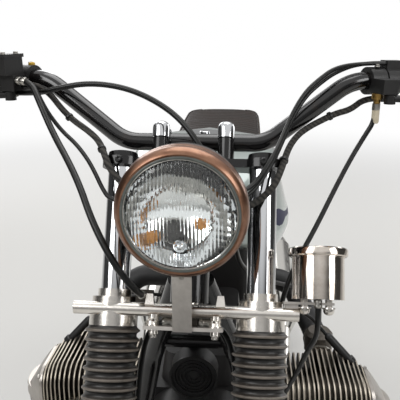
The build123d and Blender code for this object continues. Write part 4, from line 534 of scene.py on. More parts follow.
# lacquer rubbed thin by hands: black gloss with brown showing in 18 mm patches
rub = add(tree, "TexNoise", {"Vector": place, "Scale": 55.0, "Detail": 5.0, "Roughness": 0.6})
worn = add(tree, "MapRange", {0: rub.outputs[0], 1: 0.52, 2: 0.8, 3: 0.0, 4: 0.4})
tone = add(tree, "Mix", {0: worn.outputs[0], 6: linear("#080708"), 7: linear("#33241A")},
           data_type="RGBA")
shader = add(tree, "BsdfPrincipled", {"Base Color": tone.outputs[2], "Roughness": 0.18,
                                      "Coat Weight": 0.5, "Coat Roughness": 0.05})
add(tree, "OutputMaterial", {"Surface": shader.outputs[0]})
dress(lacquer, "handlebar")
pillars, caps = bmesh.new(), bmesh.new()
column = ((0.0109, 0.0), (0.0115, 0.0006), (0.0115, 0.0316), (0.0108, 0.0324))
clamp = ((0.0128, -0.011), (0.0180, -0.011), (0.0187, -0.0103), (0.0187, 0.0103),
         (0.0180, 0.011), (0.0128, 0.011))
cap_top = ((0.0112, 0.0327), (0.0120, 0.0333), (0.0120, 0.0475), (0.0114, 0.0513),
           (0.0098, 0.0540), (0.0070, 0.0560), (0.0036, 0.0570), (0.0004, 0.0573))
pillar_across = 46
for x in (-pillar_across, pillar_across):
    foot = on_fork(x, leg_back, 712)
    turned(pillars, column, foot, fork_up, 40)
    ringed(pillars, clamp, on_fork(x, 60.2, 746), (1, 0, 0), 48)
    turned(caps, cap_top, foot, fork_up, 48)
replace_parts(piece("bar_pillars", pillars, "steering", powder), "risers")
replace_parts(piece("bar_pillar_caps", caps, "steering", chrome), "riser_caps")

satin, tree, place = material("Satin_black_die_casting")
# painted die castings: satin black, with a fine 1 mm texture and dusty flats
skin = add(tree, "TexNoise", {"Vector": place, "Scale": 1000.0, "Detail": 1.0})
film = add(tree, "TexNoise", {"Vector": place, "Scale": 40.0, "Detail": 5.0, "Roughness": 0.65})
tone = add(tree, "Mix", {0: film.outputs[0], 6: linear("#0C0C0D"), 7: linear("#201F1E")},
           data_type="RGBA")
rough = add(tree, "MapRange", {0: film.outputs[0], 3: 0.3, 4: 0.55})
grain = add(tree, "Bump", {"Height": skin.outputs[0], "Strength": 0.2, "Distance": 0.0003})
shader = add(tree, "BsdfPrincipled", {"Base Color": tone.outputs[2], "Roughness": rough.outputs[0],
                                      "Normal": grain.outputs[0]})
add(tree, "OutputMaterial", {"Surface": shader.outputs[0]})
dress(satin, "lever_perches", "bar_housings", "brake_reservoir", "levers")

grip_rubber, tree, place = material("Ribbed_grip_rubber")
# soft moulded rubber: matt black, polished a little by gloves
rub = add(tree, "TexNoise", {"Vector": place, "Scale": 180.0, "Detail": 4.0})
rough = add(tree, "MapRange", {0: rub.outputs[0], 3: 0.45, 4: 0.75})
tone = add(tree, "Mix", {0: rub.outputs[0], 6: linear("#121213"), 7: linear("#232223")},
           data_type="RGBA")
shader = add(tree, "BsdfPrincipled", {"Base Color": tone.outputs[2], "Roughness": rough.outputs[0]})
add(tree, "OutputMaterial", {"Surface": shader.outputs[0]})
bm = bmesh.new()
for side in (1, -1):
    outline = [(0.0132, -0.003), (0.0165, -0.003), (0.0185, -0.0015), (0.0185, 0.003),
               (0.0165, 0.0045)]
    for rib in range(19):
        start = 0.007 + rib * 0.0052
        outline += [(0.0157, start), (0.0168, start + 0.0006), (0.0168, start + 0.0034),
                    (0.0157, start + 0.004)]
    outline += [(0.0170, 0.1065), (0.0170, 0.112), (0.0132, 0.112)]
    turned(bm, outline, bar[side][0], bar[side][1], 40)
grips = piece("bar_grips", bm, "steering", grip_rubber)
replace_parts(grips, "grips")

control_screws = [(beside_bar(-1, inboard, forward, 37.8), (0, 0, 1)) for inboard, forward in (
    (113.5, 28), (113.5, 53), (161, 28), (161, 53))]
bolts("reservoir_screws", control_screws, 0.0033, 0.003, "steering", nickel, True)
perch_screws = [(beside_bar(side, 156, 6 * side, 20.2), bar[side][3]) for side in (1, -1)]
bolts("perch_screws", perch_screws, 0.0032, 0.004, "steering", nickel, True)
yellow, tree, place = material("Moulded_yellow_nylon")
# a small moulded button, warm yellow and slightly scuffed
scuff = add(tree, "TexNoise", {"Vector": place, "Scale": 300.0, "Detail": 3.0})
tone = add(tree, "Mix", {0: scuff.outputs[0], 6: linear("#B58A1C"), 7: linear("#E0B93C")},
           data_type="RGBA")
shader = add(tree, "BsdfPrincipled", {"Base Color": tone.outputs[2], "Roughness": 0.4})
add(tree, "OutputMaterial", {"Surface": shader.outputs[0]})
bm = bmesh.new()
button = ((0.005, 0.0), (0.005, 0.003), (0.0042, 0.0042), (0.0028, 0.0046))
turned(bm, button, beside_bar(-1, 160, -4, 19.0), bar[-1][3], 24)
piece("stop_button", bm, "steering", yellow)

brass, tree, place = material("Turned_brass")
# turned brass fittings: warm yellow metal, tarnished in 5 mm patches
tarnish = add(tree, "TexNoise", {"Vector": place, "Scale": 200.0, "Detail": 5.0})
tone = add(tree, "Mix", {0: tarnish.outputs[0], 6: linear("#7A5C34"), 7: linear("#C9A561")},
           data_type="RGBA")
rough = add(tree, "MapRange", {0: tarnish.outputs[0], 3: 0.2, 4: 0.45})
# the hose's union low on the fork is the same part in dark zinc plating
level = add(tree, "SeparateXYZ", {0: place})
high = add(tree, "MapRange", {0: level.outputs["Z"], 1: 0.94, 2: 0.96})
zinc = add(tree, "Mix", {0: tarnish.outputs[0], 6: linear("#2B2927"), 7: linear("#55514B")},
           data_type="RGBA")
plated = add(tree, "Mix", {0: high.outputs[0], 6: zinc.outputs[2], 7: tone.outputs[2]},
             data_type="RGBA")
shader = add(tree, "BsdfPrincipled", {"Base Color": plated.outputs[2], "Metallic": 1.0,
                                      "Roughness": rough.outputs[0]})
add(tree, "OutputMaterial", {"Surface": shader.outputs[0]})
dress(brass, "brass_fittings")

# Lower bridge: a casting polished by hand, and the domed nuts and studs that hold the lamp's
# plate and the gauge to it.
buffed, tree, place = material("Buffed_cast_aluminium")
# buffed casting: warm bright metal with 3 mm hand-rubbed streaks and a soft, broad shine
cloud = add(tree, "TexNoise", {"Vector": place, "Scale": 60.0, "Detail": 6.0, "Roughness": 0.6})
streak = add(tree, "TexNoise", {"Vector": place, "Scale": 330.0, "Detail": 2.0})
tone = add(tree, "Mix", {0: cloud.outputs[0], 6: linear("#CBC5BC"), 7: linear("#F4F0EA")},
           data_type="RGBA")
rough = add(tree, "MapRange", {0: streak.outputs[0], 3: 0.17, 4: 0.30})
grain = add(tree, "Bump", {"Height": cloud.outputs[0], "Strength": 0.05, "Distance": 0.001})
shader = add(tree, "BsdfPrincipled", {"Base Color": tone.outputs[2], "Metallic": 1.0,
                                      "Roughness": rough.outputs[0], "Normal": grain.outputs[0]})
add(tree, "OutputMaterial", {"Surface": shader.outputs[0]})
dress(buffed, "lower_bridge")
dome_nut = ((0.0088, 0.0), (0.0088, 0.0016), (0.0072, 0.0018), (0.0070, 0.0052), (0.0056, 0.0078),
            (0.0032, 0.0092), (0.0006, 0.0096))
stud = ((0.0062, 0.0), (0.0062, 0.0058), (0.0052, 0.0066), (0.0046, 0.0068), (0.0044, 0.0104),
        (0.0006, 0.0108))
bm = bmesh.new()
for x in (-40, 40):
    turned(bm, stud, on_fork(x, 8, 482.1), -fork_up, 24)
    turned(bm, dome_nut, on_fork(x, -4, 486.7), fork_up, 24)
gauge_across = 170
for x in (-17, 14):
    turned(bm, dome_nut, on_fork(gauge_across + x, 14, 517), -fork_up, 24)
piece("domed_nuts", bm, "steering", buffed)

# Headlight: a spun steel shell in black with a copper-lacquered ring, a pressed glass with
# upright flutes, a silvered reflector, and a bulb with its shield over a small pilot bulb.
lamp = on_fork(0, -86.1, 619.2)
glass_radius = 0.0671

copper, tree, place = material("Brushed_copper_lacquer")
# copper plate under lacquer: warm brown metal, darker in 12 mm clouds, brushed round the ring
offset = add(tree, "VectorMath", {0: place, 1: tuple(lamp)}, operation="SUBTRACT")
parts = add(tree, "SeparateXYZ", {0: offset.outputs[0]})
flat = add(tree, "CombineXYZ", {0: parts.outputs[0], 1: 0.0, 2: parts.outputs[2]})
reach = add(tree, "VectorMath", {0: flat.outputs[0]}, operation="LENGTH")
lines = add(tree, "TexNoise", {"W": reach.outputs["Value"], "Scale": 1400.0, "Detail": 2.0},
            noise_dimensions="1D")
cloud = add(tree, "TexNoise", {"Vector": place, "Scale": 80.0, "Detail": 4.0})
tone = add(tree, "Mix", {0: cloud.outputs[0], 6: linear("#694435"), 7: linear("#A07A61")},
           data_type="RGBA")
rough = add(tree, "MapRange", {0: lines.outputs[0], 3: 0.22, 4: 0.42})
grain = add(tree, "Bump", {"Height": lines.outputs[0], "Strength": 0.12, "Distance": 0.0002})
shader = add(tree, "BsdfPrincipled", {"Base Color": tone.outputs[2], "Metallic": 1.0,
                                      "Roughness": rough.outputs[0], "Normal": grain.outputs[0],
                                      "Coat Weight": 0.4, "Coat Roughness": 0.1})
add(tree, "OutputMaterial", {"Surface": shader.outputs[0]})
dress(copper, "headlight_ring")

skirt = ((0.0764, 0.0062), (0.0792, 0.0062), (0.0797, 0.0080), (0.0797, 0.0150),
         (0.0786, 0.0215), (0.0764, 0.0245))
bm = bmesh.new()
ringed(bm, skirt, lamp, (0, 1, 0), 96)
piece("lamp_ring_skirt", bm, "steering", copper)
seat_grey, tree, place = material("Aged_lamp_gasket")
# the glass's rubber gasket, gone grey-green and slightly shiny with age
age = add(tree, "TexNoise", {"Vector": place, "Scale": 120.0, "Detail": 4.0})
tone = add(tree, "Mix", {0: age.outputs[0], 6: linear("#333735"), 7: linear("#6C716C")},
           data_type="RGBA")
shader = add(tree, "BsdfPrincipled", {"Base Color": tone.outputs[2], "Roughness": 0.3})
add(tree, "OutputMaterial", {"Surface": shader.outputs[0]})
bm = bmesh.new()
bead = [(0.0686 + 0.0020 * cos(tau * n / 12), 0.0102 + 0.0020 * sin(tau * n / 12))
        for n in range(12)]
ringed(bm, bead, lamp, (0, -1, 0), 96)
piece("lamp_gasket", bm, "steering", seat_grey)
bm = bmesh.new()
wire = [(0.0664 + 0.0006 * cos(tau * n / 8), 0.0116 + 0.0006 * sin(tau * n / 8))
        for n in range(8)]
ringed(bm, wire, lamp, (0, -1, 0), 96)
piece("lamp_inner_rim", bm, "steering", nickel)

fluted, tree, place = material("Pressed_lens_glass")
# pressed soda glass: clear, with a very slight green and soft ripples 20 mm long
ripple = add(tree, "TexNoise", {"Vector": place, "Scale": 50.0, "Detail": 1.0})
bend = add(tree, "Bump", {"Height": ripple.outputs[0], "Strength": 0.15, "Distance": 0.001})
shader = add(tree, "BsdfPrincipled", {"Base Color": linear("#FBFDFC"), "Transmission Weight": 1.0,
                                      "Roughness": 0.0, "IOR": 1.5, "Normal": bend.outputs[0]})
add(tree, "OutputMaterial", {"Surface": shader.outputs[0]})
bm = bmesh.new()
front, back = [], []
around, rows = 320, 56
pane_depth, flute_pitch, flute_depth = 0.0030, 0.0043, 0.0008
sweep_pitch, sweep_depth = 0.0085, 0.0003
for row in range(rows + 1):
    r = glass_radius * (row + 0.02) / (rows + 0.02)
    dome = 0.0070 + 0.0138 * (1 - (r / glass_radius) ** 2)
    outer, inner = [], []
    for step in range(around):
        x, z = r * cos(tau * step / around), r * sin(tau * step / around)
        fade = max(0.0, 1 - (r / glass_radius) ** 12)
        clear = min(1.0, sqrt((x + 0.004) ** 2 + (z + 0.034) ** 2) / 0.019) ** 3
        depth = flute_depth * fade * clear * (1 - abs(cos(pi * x / flute_pitch)))
        # beside the upright flutes, shallow slanting ones spread the light
        if abs(x) > 0.030:
            slant = cos(pi * (z + 0.3 * abs(x)) / sweep_pitch)
            depth += sweep_depth * fade * (1 - abs(slant))
        outer.append(bm.verts.new(lamp + Vector((x, -dome, z))))
        inner.append(bm.verts.new(lamp + Vector((x, -dome + pane_depth + depth, z))))
    front.append(outer)
    back.append(inner)
for sheet in (front, back):
    join_rings(bm, sheet)
    bm.faces.new(sheet[0])
join_rings(bm, (front[-1], back[-1]))
lens_piece = piece("lamp_fluted_glass", bm, "steering", fluted, 60)
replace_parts(lens_piece, "headlight_glass")

silvered, tree, place = material("Silvered_reflector")
# vacuum-silvered steel: a clean mirror with slight 15 mm waves from pressing
wave = add(tree, "TexNoise", {"Vector": place, "Scale": 70.0, "Detail": 1.0})
bend = add(tree, "Bump", {"Height": wave.outputs[0], "Strength": 0.25, "Distance": 0.0016})
shader = add(tree, "BsdfPrincipled", {"Base Color": linear("#ECEDEE"), "Metallic": 1.0,
                                      "Roughness": 0.03, "Normal": bend.outputs[0]})
add(tree, "OutputMaterial", {"Surface": shader.outputs[0]})
dress(silvered, "headlight_reflector")

amber, tree, place = material("Amber_bulb_lacquer")
# amber-lacquered glass of the side bulbs, seen as warm patches in the mirror behind
tint = add(tree, "TexNoise", {"Vector": place, "Scale": 260.0, "Detail": 2.0})
tone = add(tree, "Mix", {0: tint.outputs[0], 6: linear("#B86A12"), 7: linear("#EFA63A")},
           data_type="RGBA")
shader = add(tree, "BsdfPrincipled", {"Base Color": tone.outputs[2], "Roughness": 0.15})
add(tree, "OutputMaterial", {"Surface": shader.outputs[0]})
bm = bmesh.new()
turned(bm, ((0.0150, 0.0), (0.0165, 0.004), (0.0155, 0.009), (0.0110, 0.0125), (0.0005, 0.0135)),
       lamp + Vector((-0.0085, 0.0260, -0.0300)), (0, -1, 0.1), 36)
turned(bm, ((0.0050, 0.0), (0.0050, 0.018)), lamp + Vector((-0.0085, 0.0430, -0.0240)),
       (0, -1, -0.3), 16)
shield = piece("lamp_bulb_shield", bm, "steering", satin)
# only the shield's face is blackened; its back and its stem are bright, as the mirror shows
shield.data.materials.append(nickel)
for face in shield.data.polygons:
    face.material_index = 0 if face.normal.y < -0.15 else 1
bm = bmesh.new()
pilot = ((0.0078, 0.0), (0.0082, 0.002), (0.0082, 0.005), (0.0070, 0.0062), (0.0062, 0.0060),
         (0.0052, 0.0090), (0.0030, 0.0112), (0.0005, 0.0120))
turned(bm, pilot, lamp + Vector((-0.0025, 0.0130, -0.0445)), (0, -1, 0.12), 28)
piece("lamp_pilot_bulb", bm, "steering", chrome)
bm = bmesh.new()
for x, z, wide in ((-0.0365, -0.0335, 0.0085), (0.0225, -0.0160, 0.0075)):
    turned(bm, ((wide, 0.0), (wide, 0.003), (wide * 0.75, 0.0065), (0.0004, 0.0085)),
           lamp + Vector((x, 0.0115, z)), (0, -1, 0), 24)
piece("lamp_side_bulbs", bm, "steering", amber)
bolts("lamp_ring_screw", [(lamp + Vector((0, -0.002, -0.0790)), (0, -0.25, -1))], 0.0032, 0.0036,
      "steering", nickel)

mild, tree, place = material("Bare_mild_steel")
# sawn and filed flat bar: pale warm grey, with file marks 1 mm apart and 9 mm stains
stretch = add(tree, "Mapping", {"Vector": place, "Scale": (900.0, 900.0, 60.0)})
files = add(tree, "TexNoise", {"Vector": stretch.outputs[0], "Scale": 1.0, "Detail": 3.0})
stain = add(tree, "TexNoise", {"Vector": place, "Scale": 110.0, "Detail": 5.0})
tone = add(tree, "Mix", {0: stain.outputs[0], 6: linear("#A7A29C"), 7: linear("#CFCAC4")},
           data_type="RGBA")
rough = add(tree, "MapRange", {0: files.outputs[0], 3: 0.3, 4: 0.48})
grain = add(tree, "Bump", {"Height": files.outputs[0], "Strength": 0.2, "Distance": 0.0003})
shader = add(tree, "BsdfPrincipled", {"Base Color": tone.outputs[2], "Metallic": 0.85,
                                      "Roughness": rough.outputs[0], "Normal": grain.outputs[0]})
add(tree, "OutputMaterial", {"Surface": shader.outputs[0]})
dress(mild, "headlight_bracket", "gauge_bracket")

# Gauge: a small speedometer in a cup of spun and polished stainless steel. Its white dial is
# printed and lies under flat glass, which a rolled bezel holds on the cup.
gauge_face = on_fork(gauge_across, 12, 587.2)
cup_steel, tree, place = material("Polished_stainless_cup")
# spun stainless, polished: bands of light with slightly soft edges, and a warm grey cast in its
# colour that is a painted brown reflection
turn_marks = add(tree, "TexNoise", {"Vector": place, "Scale": 140.0, "Detail": 4.0})
tone = add(tree, "Mix", {0: turn_marks.outputs[0], 6: linear("#C4B9AD"), 7: linear("#E2DBD3")},
           data_type="RGBA")
rough = add(tree, "MapRange", {0: turn_marks.outputs[0], 3: 0.07, 4: 0.16})
shader = add(tree, "BsdfPrincipled", {"Base Color": tone.outputs[2], "Metallic": 1.0,
                                      "Roughness": rough.outputs[0]})
add(tree, "OutputMaterial", {"Surface": shader.outputs[0]})
dress(cup_steel, "gauge")
bezel = ((0.0322, -0.0040), (0.0368, -0.0058), (0.0383, -0.0045), (0.0385, 0.0010),
         (0.0380, 0.0036), (0.0362, 0.0052), (0.0330, 0.0050), (0.0316, 0.0034))
bm = bmesh.new()
ringed(bm, bezel, gauge_face, fork_up, 72)
piece("gauge_bezel", bm, "steering", cup_steel)
dial_white, tree, place = material("Enamelled_dial")
# a matt enamelled card, faintly yellowed
age = add(tree, "TexNoise", {"Vector": place, "Scale": 90.0, "Detail": 3.0})
tone = add(tree, "Mix", {0: age.outputs[0], 6: linear("#DAD5C6"), 7: linear("#EFEBE0")},
           data_type="RGBA")
shader = add(tree, "BsdfPrincipled", {"Base Color": tone.outputs[2], "Roughness": 0.6})
add(tree, "OutputMaterial", {"Surface": shader.outputs[0]})
bm = bmesh.new()
turned(bm, ((0.0305, 0.0), (0.0305, 0.0006)), gauge_face, fork_up, 48)
piece("gauge_dial", bm, "steering", dial_white)
ticks, first_tick, tick_turn, tick_radius = 37, 225, 7.5, 0.0285
needle_turn, needle_length, needle_half = 215, 0.024, 0.0009


def dial_way(degrees):
    """The way from the dial's middle to a place on its rim."""
    angle = radians(degrees)
    return -Vector((1, 0, 0)) * cos(angle) - fork_back * sin(angle)


bm = bmesh.new()
for number in range(ticks):
    out = dial_way(first_tick - number * tick_turn)
    half, length = (0.0007, 0.0060) if number % 4 == 0 else (0.0004, 0.0035)
    aside = out.cross(fork_up) * half
    inner = tick_radius - length
    corners = [gauge_face + fork_up * 0.0008 + out * reach + aside * sign for reach, sign in (
        (tick_radius, 1), (tick_radius, -1), (inner, -1), (inner, 1))]
    bm.faces.new([bm.verts.new(corner) for corner in corners])
tip = gauge_face + fork_up * 0.0022
out = dial_way(needle_turn) * needle_length
thin = out.cross(fork_up).normalized() * needle_half
for corners in ((tip + thin, tip - thin, tip + out), (tip - thin, tip + thin, tip - out * 0.25)):
    bm.faces.new([bm.verts.new(corner) for corner in corners])
turned(bm, ((0.003, 0.0006), (0.003, 0.0026), (0.002, 0.003)), gauge_face, fork_up, 20)
piece("gauge_marks", bm, "steering", satin)
pane, tree, place = material("Flat_gauge_glass")
# float glass over the dial, clear and clean
haze = add(tree, "TexNoise", {"Vector": place, "Scale": 60.0, "Detail": 3.0})
rough = add(tree, "MapRange", {0: haze.outputs[0], 3: 0.0, 4: 0.06})
shader = add(tree, "BsdfPrincipled", {"Base Color": linear("#F6FBFA"), "Transmission Weight": 1.0,
                                      "Roughness": rough.outputs[0], "IOR": 1.5})
add(tree, "OutputMaterial", {"Surface": shader.outputs[0]})
bm = bmesh.new()
turned(bm, ((0.0308, 0.0032), (0.0308, 0.0046)), gauge_face, fork_up, 48)
piece("gauge_glass", bm, "steering", pane)

# Hoses, wires and control cables: black moulded sheaths, two looms in cloth tape, crimped
# ends. Those that leave the bar for the engine run from the steering to the frame.


def smooth_route(points):
    """The points of one smooth curve that a route in millimetres controls."""
    curve = bpy.data.curves.new("route", "CURVE")
    curve.dimensions = "3D"
    curve.resolution_u = 10
    line = curve.splines.new("NURBS")
    line.points.add(len(points) - 1)
    for spot, point in zip(line.points, points):
        spot.co = (point[0] / 1000, point[1] / 1000, point[2] / 1000, 1.0)
    line.order_u = 3
    line.use_endpoint_u = True
    holder = bpy.data.objects.new("route", curve)
    path = bpy.data.meshes.new_from_object(holder)
    spots = [vertex.co.copy() for vertex in path.vertices]
    bpy.data.objects.remove(holder)
    bpy.data.meshes.remove(path)
    bpy.data.curves.remove(curve)
    return spots


def sheath(bm, spots, radius, index=0, count=14):
    """Adds a round tube along a row of points to a mesh."""
    forward = [(after - before).normalized() for before, after in zip(
        spots[:1] + spots[:-1], spots[1:] + spots[-1:])]
    forward[0] = (spots[1] - spots[0]).normalized()
    forward[-1] = (spots[-1] - spots[-2]).normalized()
    aside = forward[0].orthogonal().normalized()
    rings = []
    for spot, way in zip(spots, forward):
        aside = (aside - way * aside.dot(way)).normalized()
        other = way.cross(aside)
        ring = []
        for step in range(count):
            angle = tau * step / count
            out = aside * cos(angle) + other * sin(angle)
            ring.append(bm.verts.new(spot + out * radius))
        rings.append(ring)
    closed(bm, rings, index)


moulded, tree, place = material("Black_cable_sheath")
# extruded PVC over wire: satin black, with 9 mm smears and a little dust on top
facing = add(tree, "SeparateXYZ", {0: add(tree, "NewGeometry").outputs["Normal"]})
patch = add(tree, "TexNoise", {"Vector": place, "Scale": 110.0, "Detail": 4.0})
lying = add(tree, "MapRange", {0: facing.outputs["Z"], 1: 0.2, 2: 1.0, 3: 0.0, 4: 0.35})
amount = add(tree, "Math", {0: lying.outputs[0], 1: patch.outputs[0]}, operation="MULTIPLY")
tone = add(tree, "Mix", {0: amount.outputs[0], 6: linear("#0A0B0B"), 7: linear("#54534C")},
           data_type="RGBA")
rough = add(tree, "MapRange", {0: patch.outputs[0], 3: 0.24, 4: 0.42})
shader = add(tree, "BsdfPrincipled", {"Base Color": tone.outputs[2], "Roughness": rough.outputs[0],
                                      "Specular IOR Level": 0.35})
add(tree, "OutputMaterial", {"Surface": shader.outputs[0]})

taped, tree, place = material("Cloth_loom_tape")
# woven cotton tape wound round the wires: dusty grey-black, a lap about every 9 mm
lap = add(tree, "TexWave", {"Vector": place, "Scale": 55.0, "Distortion": 3.0, "Detail": 2.0,
                            "Detail Scale": 3.0}, bands_direction="DIAGONAL")
weave = add(tree, "TexNoise", {"Vector": place, "Scale": 900.0, "Detail": 2.0})
tone = add(tree, "Mix", {0: lap.outputs[1], 6: linear("#1C1B1A"), 7: linear("#423F3A")},
           data_type="RGBA")
depth = add(tree, "Math", {0: lap.outputs[1], 1: weave.outputs[0]}, operation="ADD")
grain = add(tree, "Bump", {"Height": depth.outputs[0], "Strength": 0.5, "Distance": 0.0006})
shader = add(tree, "BsdfPrincipled", {"Base Color": tone.outputs[2], "Roughness": 0.85,
                                      "Normal": grain.outputs[0]})
add(tree, "OutputMaterial", {"Surface": shader.outputs[0]})

# for each wire its radius, its sheath (1 is cloth tape), and its route in millimetres
wire_routes = (
    (0.003, 0, (
        (268.9, -274.9, 1074.9), (235.7, -288.7, 1075.8), (199, -301, 1064), (174, -313, 1047),
        (155, -326, 1031), (137, -346, 1004), (124, -372, 978), (110, -402, 954),
        (81.3, -431.4, 915), (62.7, -447.8, 915),
    )),
    (0.003, 0, (
        (272, -282.2, 1074.9), (238.8, -296.1, 1075.8), (198, -306, 1071), (173, -318, 1054),
        (154, -331, 1038), (136, -351, 1011), (123, -377, 985), (109, -407, 961),
        (81.3, -431.4, 924), (62.7, -447.8, 924),
    )),
    (0.0045, 1, (
        (267.6, -274.9, 1024), (245.4, -284.1, 1024.5), (225, -297, 1010), (202, -304, 1005),
        (180, -315, 996), (164, -327, 990), (146, -341, 980), (132, -362, 965), (122, -400, 945),
        (110, -420, 922), (81.3, -431.4, 901), (62.7, -447.8, 901),
    )),
    (0.0045, 1, (
        (-251.3, -304.9, 1042.6), (-234.7, -311.9, 1043.1), (-214, -317, 1031),
        (-196, -328, 1012), (-175, -340, 996), (-150, -354, 984), (-131, -370, 973),
        (-118, -396, 960), (-107, -416, 944), (-81.3, -431.4, 922), (-62.7, -447.8, 922),
    )),
    (0.003, 0, (
        (-255.4, -314.6, 1041.6), (-239.7, -321.2, 1042), (-227, -335, 1036), (-218, -343, 1022),
        (-207, -347, 1004), (-188, -353, 982), (-166, -366, 968), (-146, -382, 950),
        (-131, -400, 934), (-119, -414, 917), (-107, -425, 905), (-81.3, -431.4, 904),
        (-62.7, -447.8, 904),
    )),
)
bm = bmesh.new()
for radius, index, route in wire_routes:
    sheath(bm, smooth_route(route), radius, index)
wires = piece("bar_wires", bm, "steering", moulded)
wires.data.materials.append(taped)
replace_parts(wires, "bar_wiring")

hose_routes = [(0.0045, ((-259.4, -323.8, 1050.6), (-235.4, -333.8, 1051.3), (-216, -359, 1024),
                         (-191, -384, 984), (-160, -424, 956), (-137, -455, 930), (-118, -482, 898),
                         (-97, -503, 868), (-76, -514, 838), (-56, -497.4, 801.1),
                         (-56, -469.9, 786.8)))]
for side in (1, -1):
    line = ((15.2, 44, 491.8), (36, 44, 491.8), (56, 64, 474), (66, 84, 434), (70, 92, 372),
            (71, 95, 310), (70, 93, 250), (71, 99, 195), (72, 104, 145), (72, 104, 104.2))
    hose_routes.append((0.004, [on_fork(side * x, back, along) * 1000 for x, back, along in line]))
bm = bmesh.new()
ends = bmesh.new()
crimp = ((0.0050, 0.0), (0.0058, 0.001), (0.0058, 0.006), (0.0052, 0.007), (0.0056, 0.008),
         (0.0056, 0.016), (0.0048, 0.018))
for radius, route in hose_routes:
    spots = smooth_route(route)
    sheath(bm, spots, radius)
    turned(ends, crimp, spots[0], spots[2] - spots[0], 20)
    turned(ends, crimp, spots[-1], spots[-3] - spots[-1], 20)
hoses = piece("brake_hose_sheaths", bm, "steering", moulded)
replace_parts(hoses, "brake_hoses")
piece("brake_hose_ends", ends, "steering", nickel)

# name, radius, where the bend starts and ends, and the route in millimetres
crossing = (
    ("throttle", 0.004, (95, -200, 698), (42, -400, 915),
     ((-277.7, -298.8, 1030), (-259.3, -306.5, 1030.4), (-222, -326, 1034), (-199, -332, 1041),
      (-150, -341, 1050), (-100, -351, 1046), (-58, -361, 1032), (-20, -375, 1010), (8, -396, 982),
      (26, -408, 950), (42, -400, 915), (54, -383, 878), (60, -350, 832), (63, -312, 786),
      (72, -262, 742), (95, -200, 698), (140, -130, 650), (195, -65, 612), (236, -24, 580),
      (245, -10.7, 530.2), (245, -10.7, 485.2))),
    ("clutch", 0.0035, (112, -130, 510), (131, -432, 783),
     ((258.1, -309.1, 1021.1), (258.1, -309.1, 997.1), (244, -314, 974), (225, -330, 946),
      (203, -350, 908), (174, -382, 857), (148, -410, 818), (131, -432, 783), (126, -424, 742),
      (128, -398, 688), (121, -350, 616), (112, -290, 552), (108, -215, 520), (112, -130, 510),
      (116, -40, 500), (117, 30, 474), (114, 72, 438), (110, 100, 411), (110, 128, 411))),
    ("gauge", 0.0035, (146, -150, 250), (165, -446, 700),
     ((170, -475.6, 792.7), (170, -487.6, 769.7), (172, -474, 738), (165, -446, 700),
      (157, -412, 643), (148, -378, 592), (140, -342, 540), (138, -310, 484), (142, -286, 424),
      (148, -270, 362), (150, -256, 304), (149, -218, 264), (146, -150, 250), (145, -70, 250),
      (148, 5, 254), (154, 75, 270), (154.2, 138.2, 300), (126.2, 150.2, 300),
      (108.2, 150.2, 300))),
)
ferrule = ((0.0046, 0.0), (0.0056, 0.0006), (0.0056, 0.009), (0.0046, 0.0105))
for name, radius, start, end, route in crossing:
    spots = smooth_route(route)
    bm = bmesh.new()
    sheath(bm, spots, radius)
    sleeve = piece(f"{name}_cable_sheath", bm, "frame", moulded)
    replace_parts(sleeve, f"{name}_cable")
    sleeve.parent = None
    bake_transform(sleeve)
    for body, spot, after in (("steering", spots[0], spots[2]), ("frame", spots[-1], spots[-3])):
        bm = bmesh.new()
        turned(bm, ferrule, spot, after - spot, 20)
        piece(f"{name}_cable_{body}_ferrule", bm, body, nickel)

cream, tree, place = material("Cream_silicone_sleeve")
# a yellowed silicone sleeve over the clutch cable's adjuster
age = add(tree, "TexNoise", {"Vector": place, "Scale": 150.0, "Detail": 3.0})
tone = add(tree, "Mix", {0: age.outputs[0], 6: linear("#B5A88D"), 7: linear("#DED5BF")},
           data_type="RGBA")
shader = add(tree, "BsdfPrincipled", {"Base Color": tone.outputs[2], "Roughness": 0.5})
add(tree, "OutputMaterial", {"Surface": shader.outputs[0]})
adjuster = Vector((0.2581, -0.3091, 1.0211))
bm = bmesh.new()
turned(bm, ((0.0048, 0.001), (0.0054, 0.003), (0.0054, 0.026), (0.0043, 0.0285)), adjuster,
       (0, 0, -1), 24)
piece("clutch_cable_sleeve", bm, "steering", cream)
ties = bmesh.new()
for spot, way, radius in (
    (Vector((0.1955, -0.307, 1.0025)), Vector((-0.022, -0.011, -0.008)), 0.0062),
    (Vector((0.1255, -0.383, 0.954)), Vector((-0.010, -0.038, -0.020)), 0.0066),
    (Vector((-0.183, -0.336, 1.0015)), Vector((0.021, -0.012, -0.016)), 0.0060),
    (Vector((-0.1245, -0.384, 0.9655)), Vector((0.013, -0.026, -0.013)), 0.0060),
):
    strap = ((radius - 0.001, 0.0), (radius, 0.0004), (radius, 0.0036), (radius - 0.001, 0.004))
    turned(ties, strap, spot, way, 20)
piece("cable_ties", ties, "steering", satin)

# Frame and running gear: steel tube under black powder coat, plated fasteners, ribbed rubber
# over the pegs, and spring struts with bright coils over black dampers.
bm = bmesh.new()
for side in (1, -1):
    outline = [(0.0156, 0.0)]
    for rib in range(13):
        start = 0.002 + rib * 0.0075
        outline += [(0.0158, start), (0.0172, start + 0.001), (0.0172, start + 0.0052),
                    (0.0158, start + 0.006)]
    outline += [(0.0172, 0.0995), (0.0164, 0.102), (0.0005, 0.1025)]
    turned(bm, outline, (side * 0.1653, 0.150, 0.262), (side, 0, 0), 32)
piece("peg_rubbers", bm, "frame", grip_rubber)
frame_bolts = [((side * 0.1484, 0.150, 0.237), (side, 0, 0)) for side in (1, -1)]
frame_bolts += [((side * 0.1172, 0.150, 0.185), (side, 0, 0)) for side in (1, -1)]
bolts("pivot_nuts", frame_bolts, 0.008, 0.007, "frame", nickel)

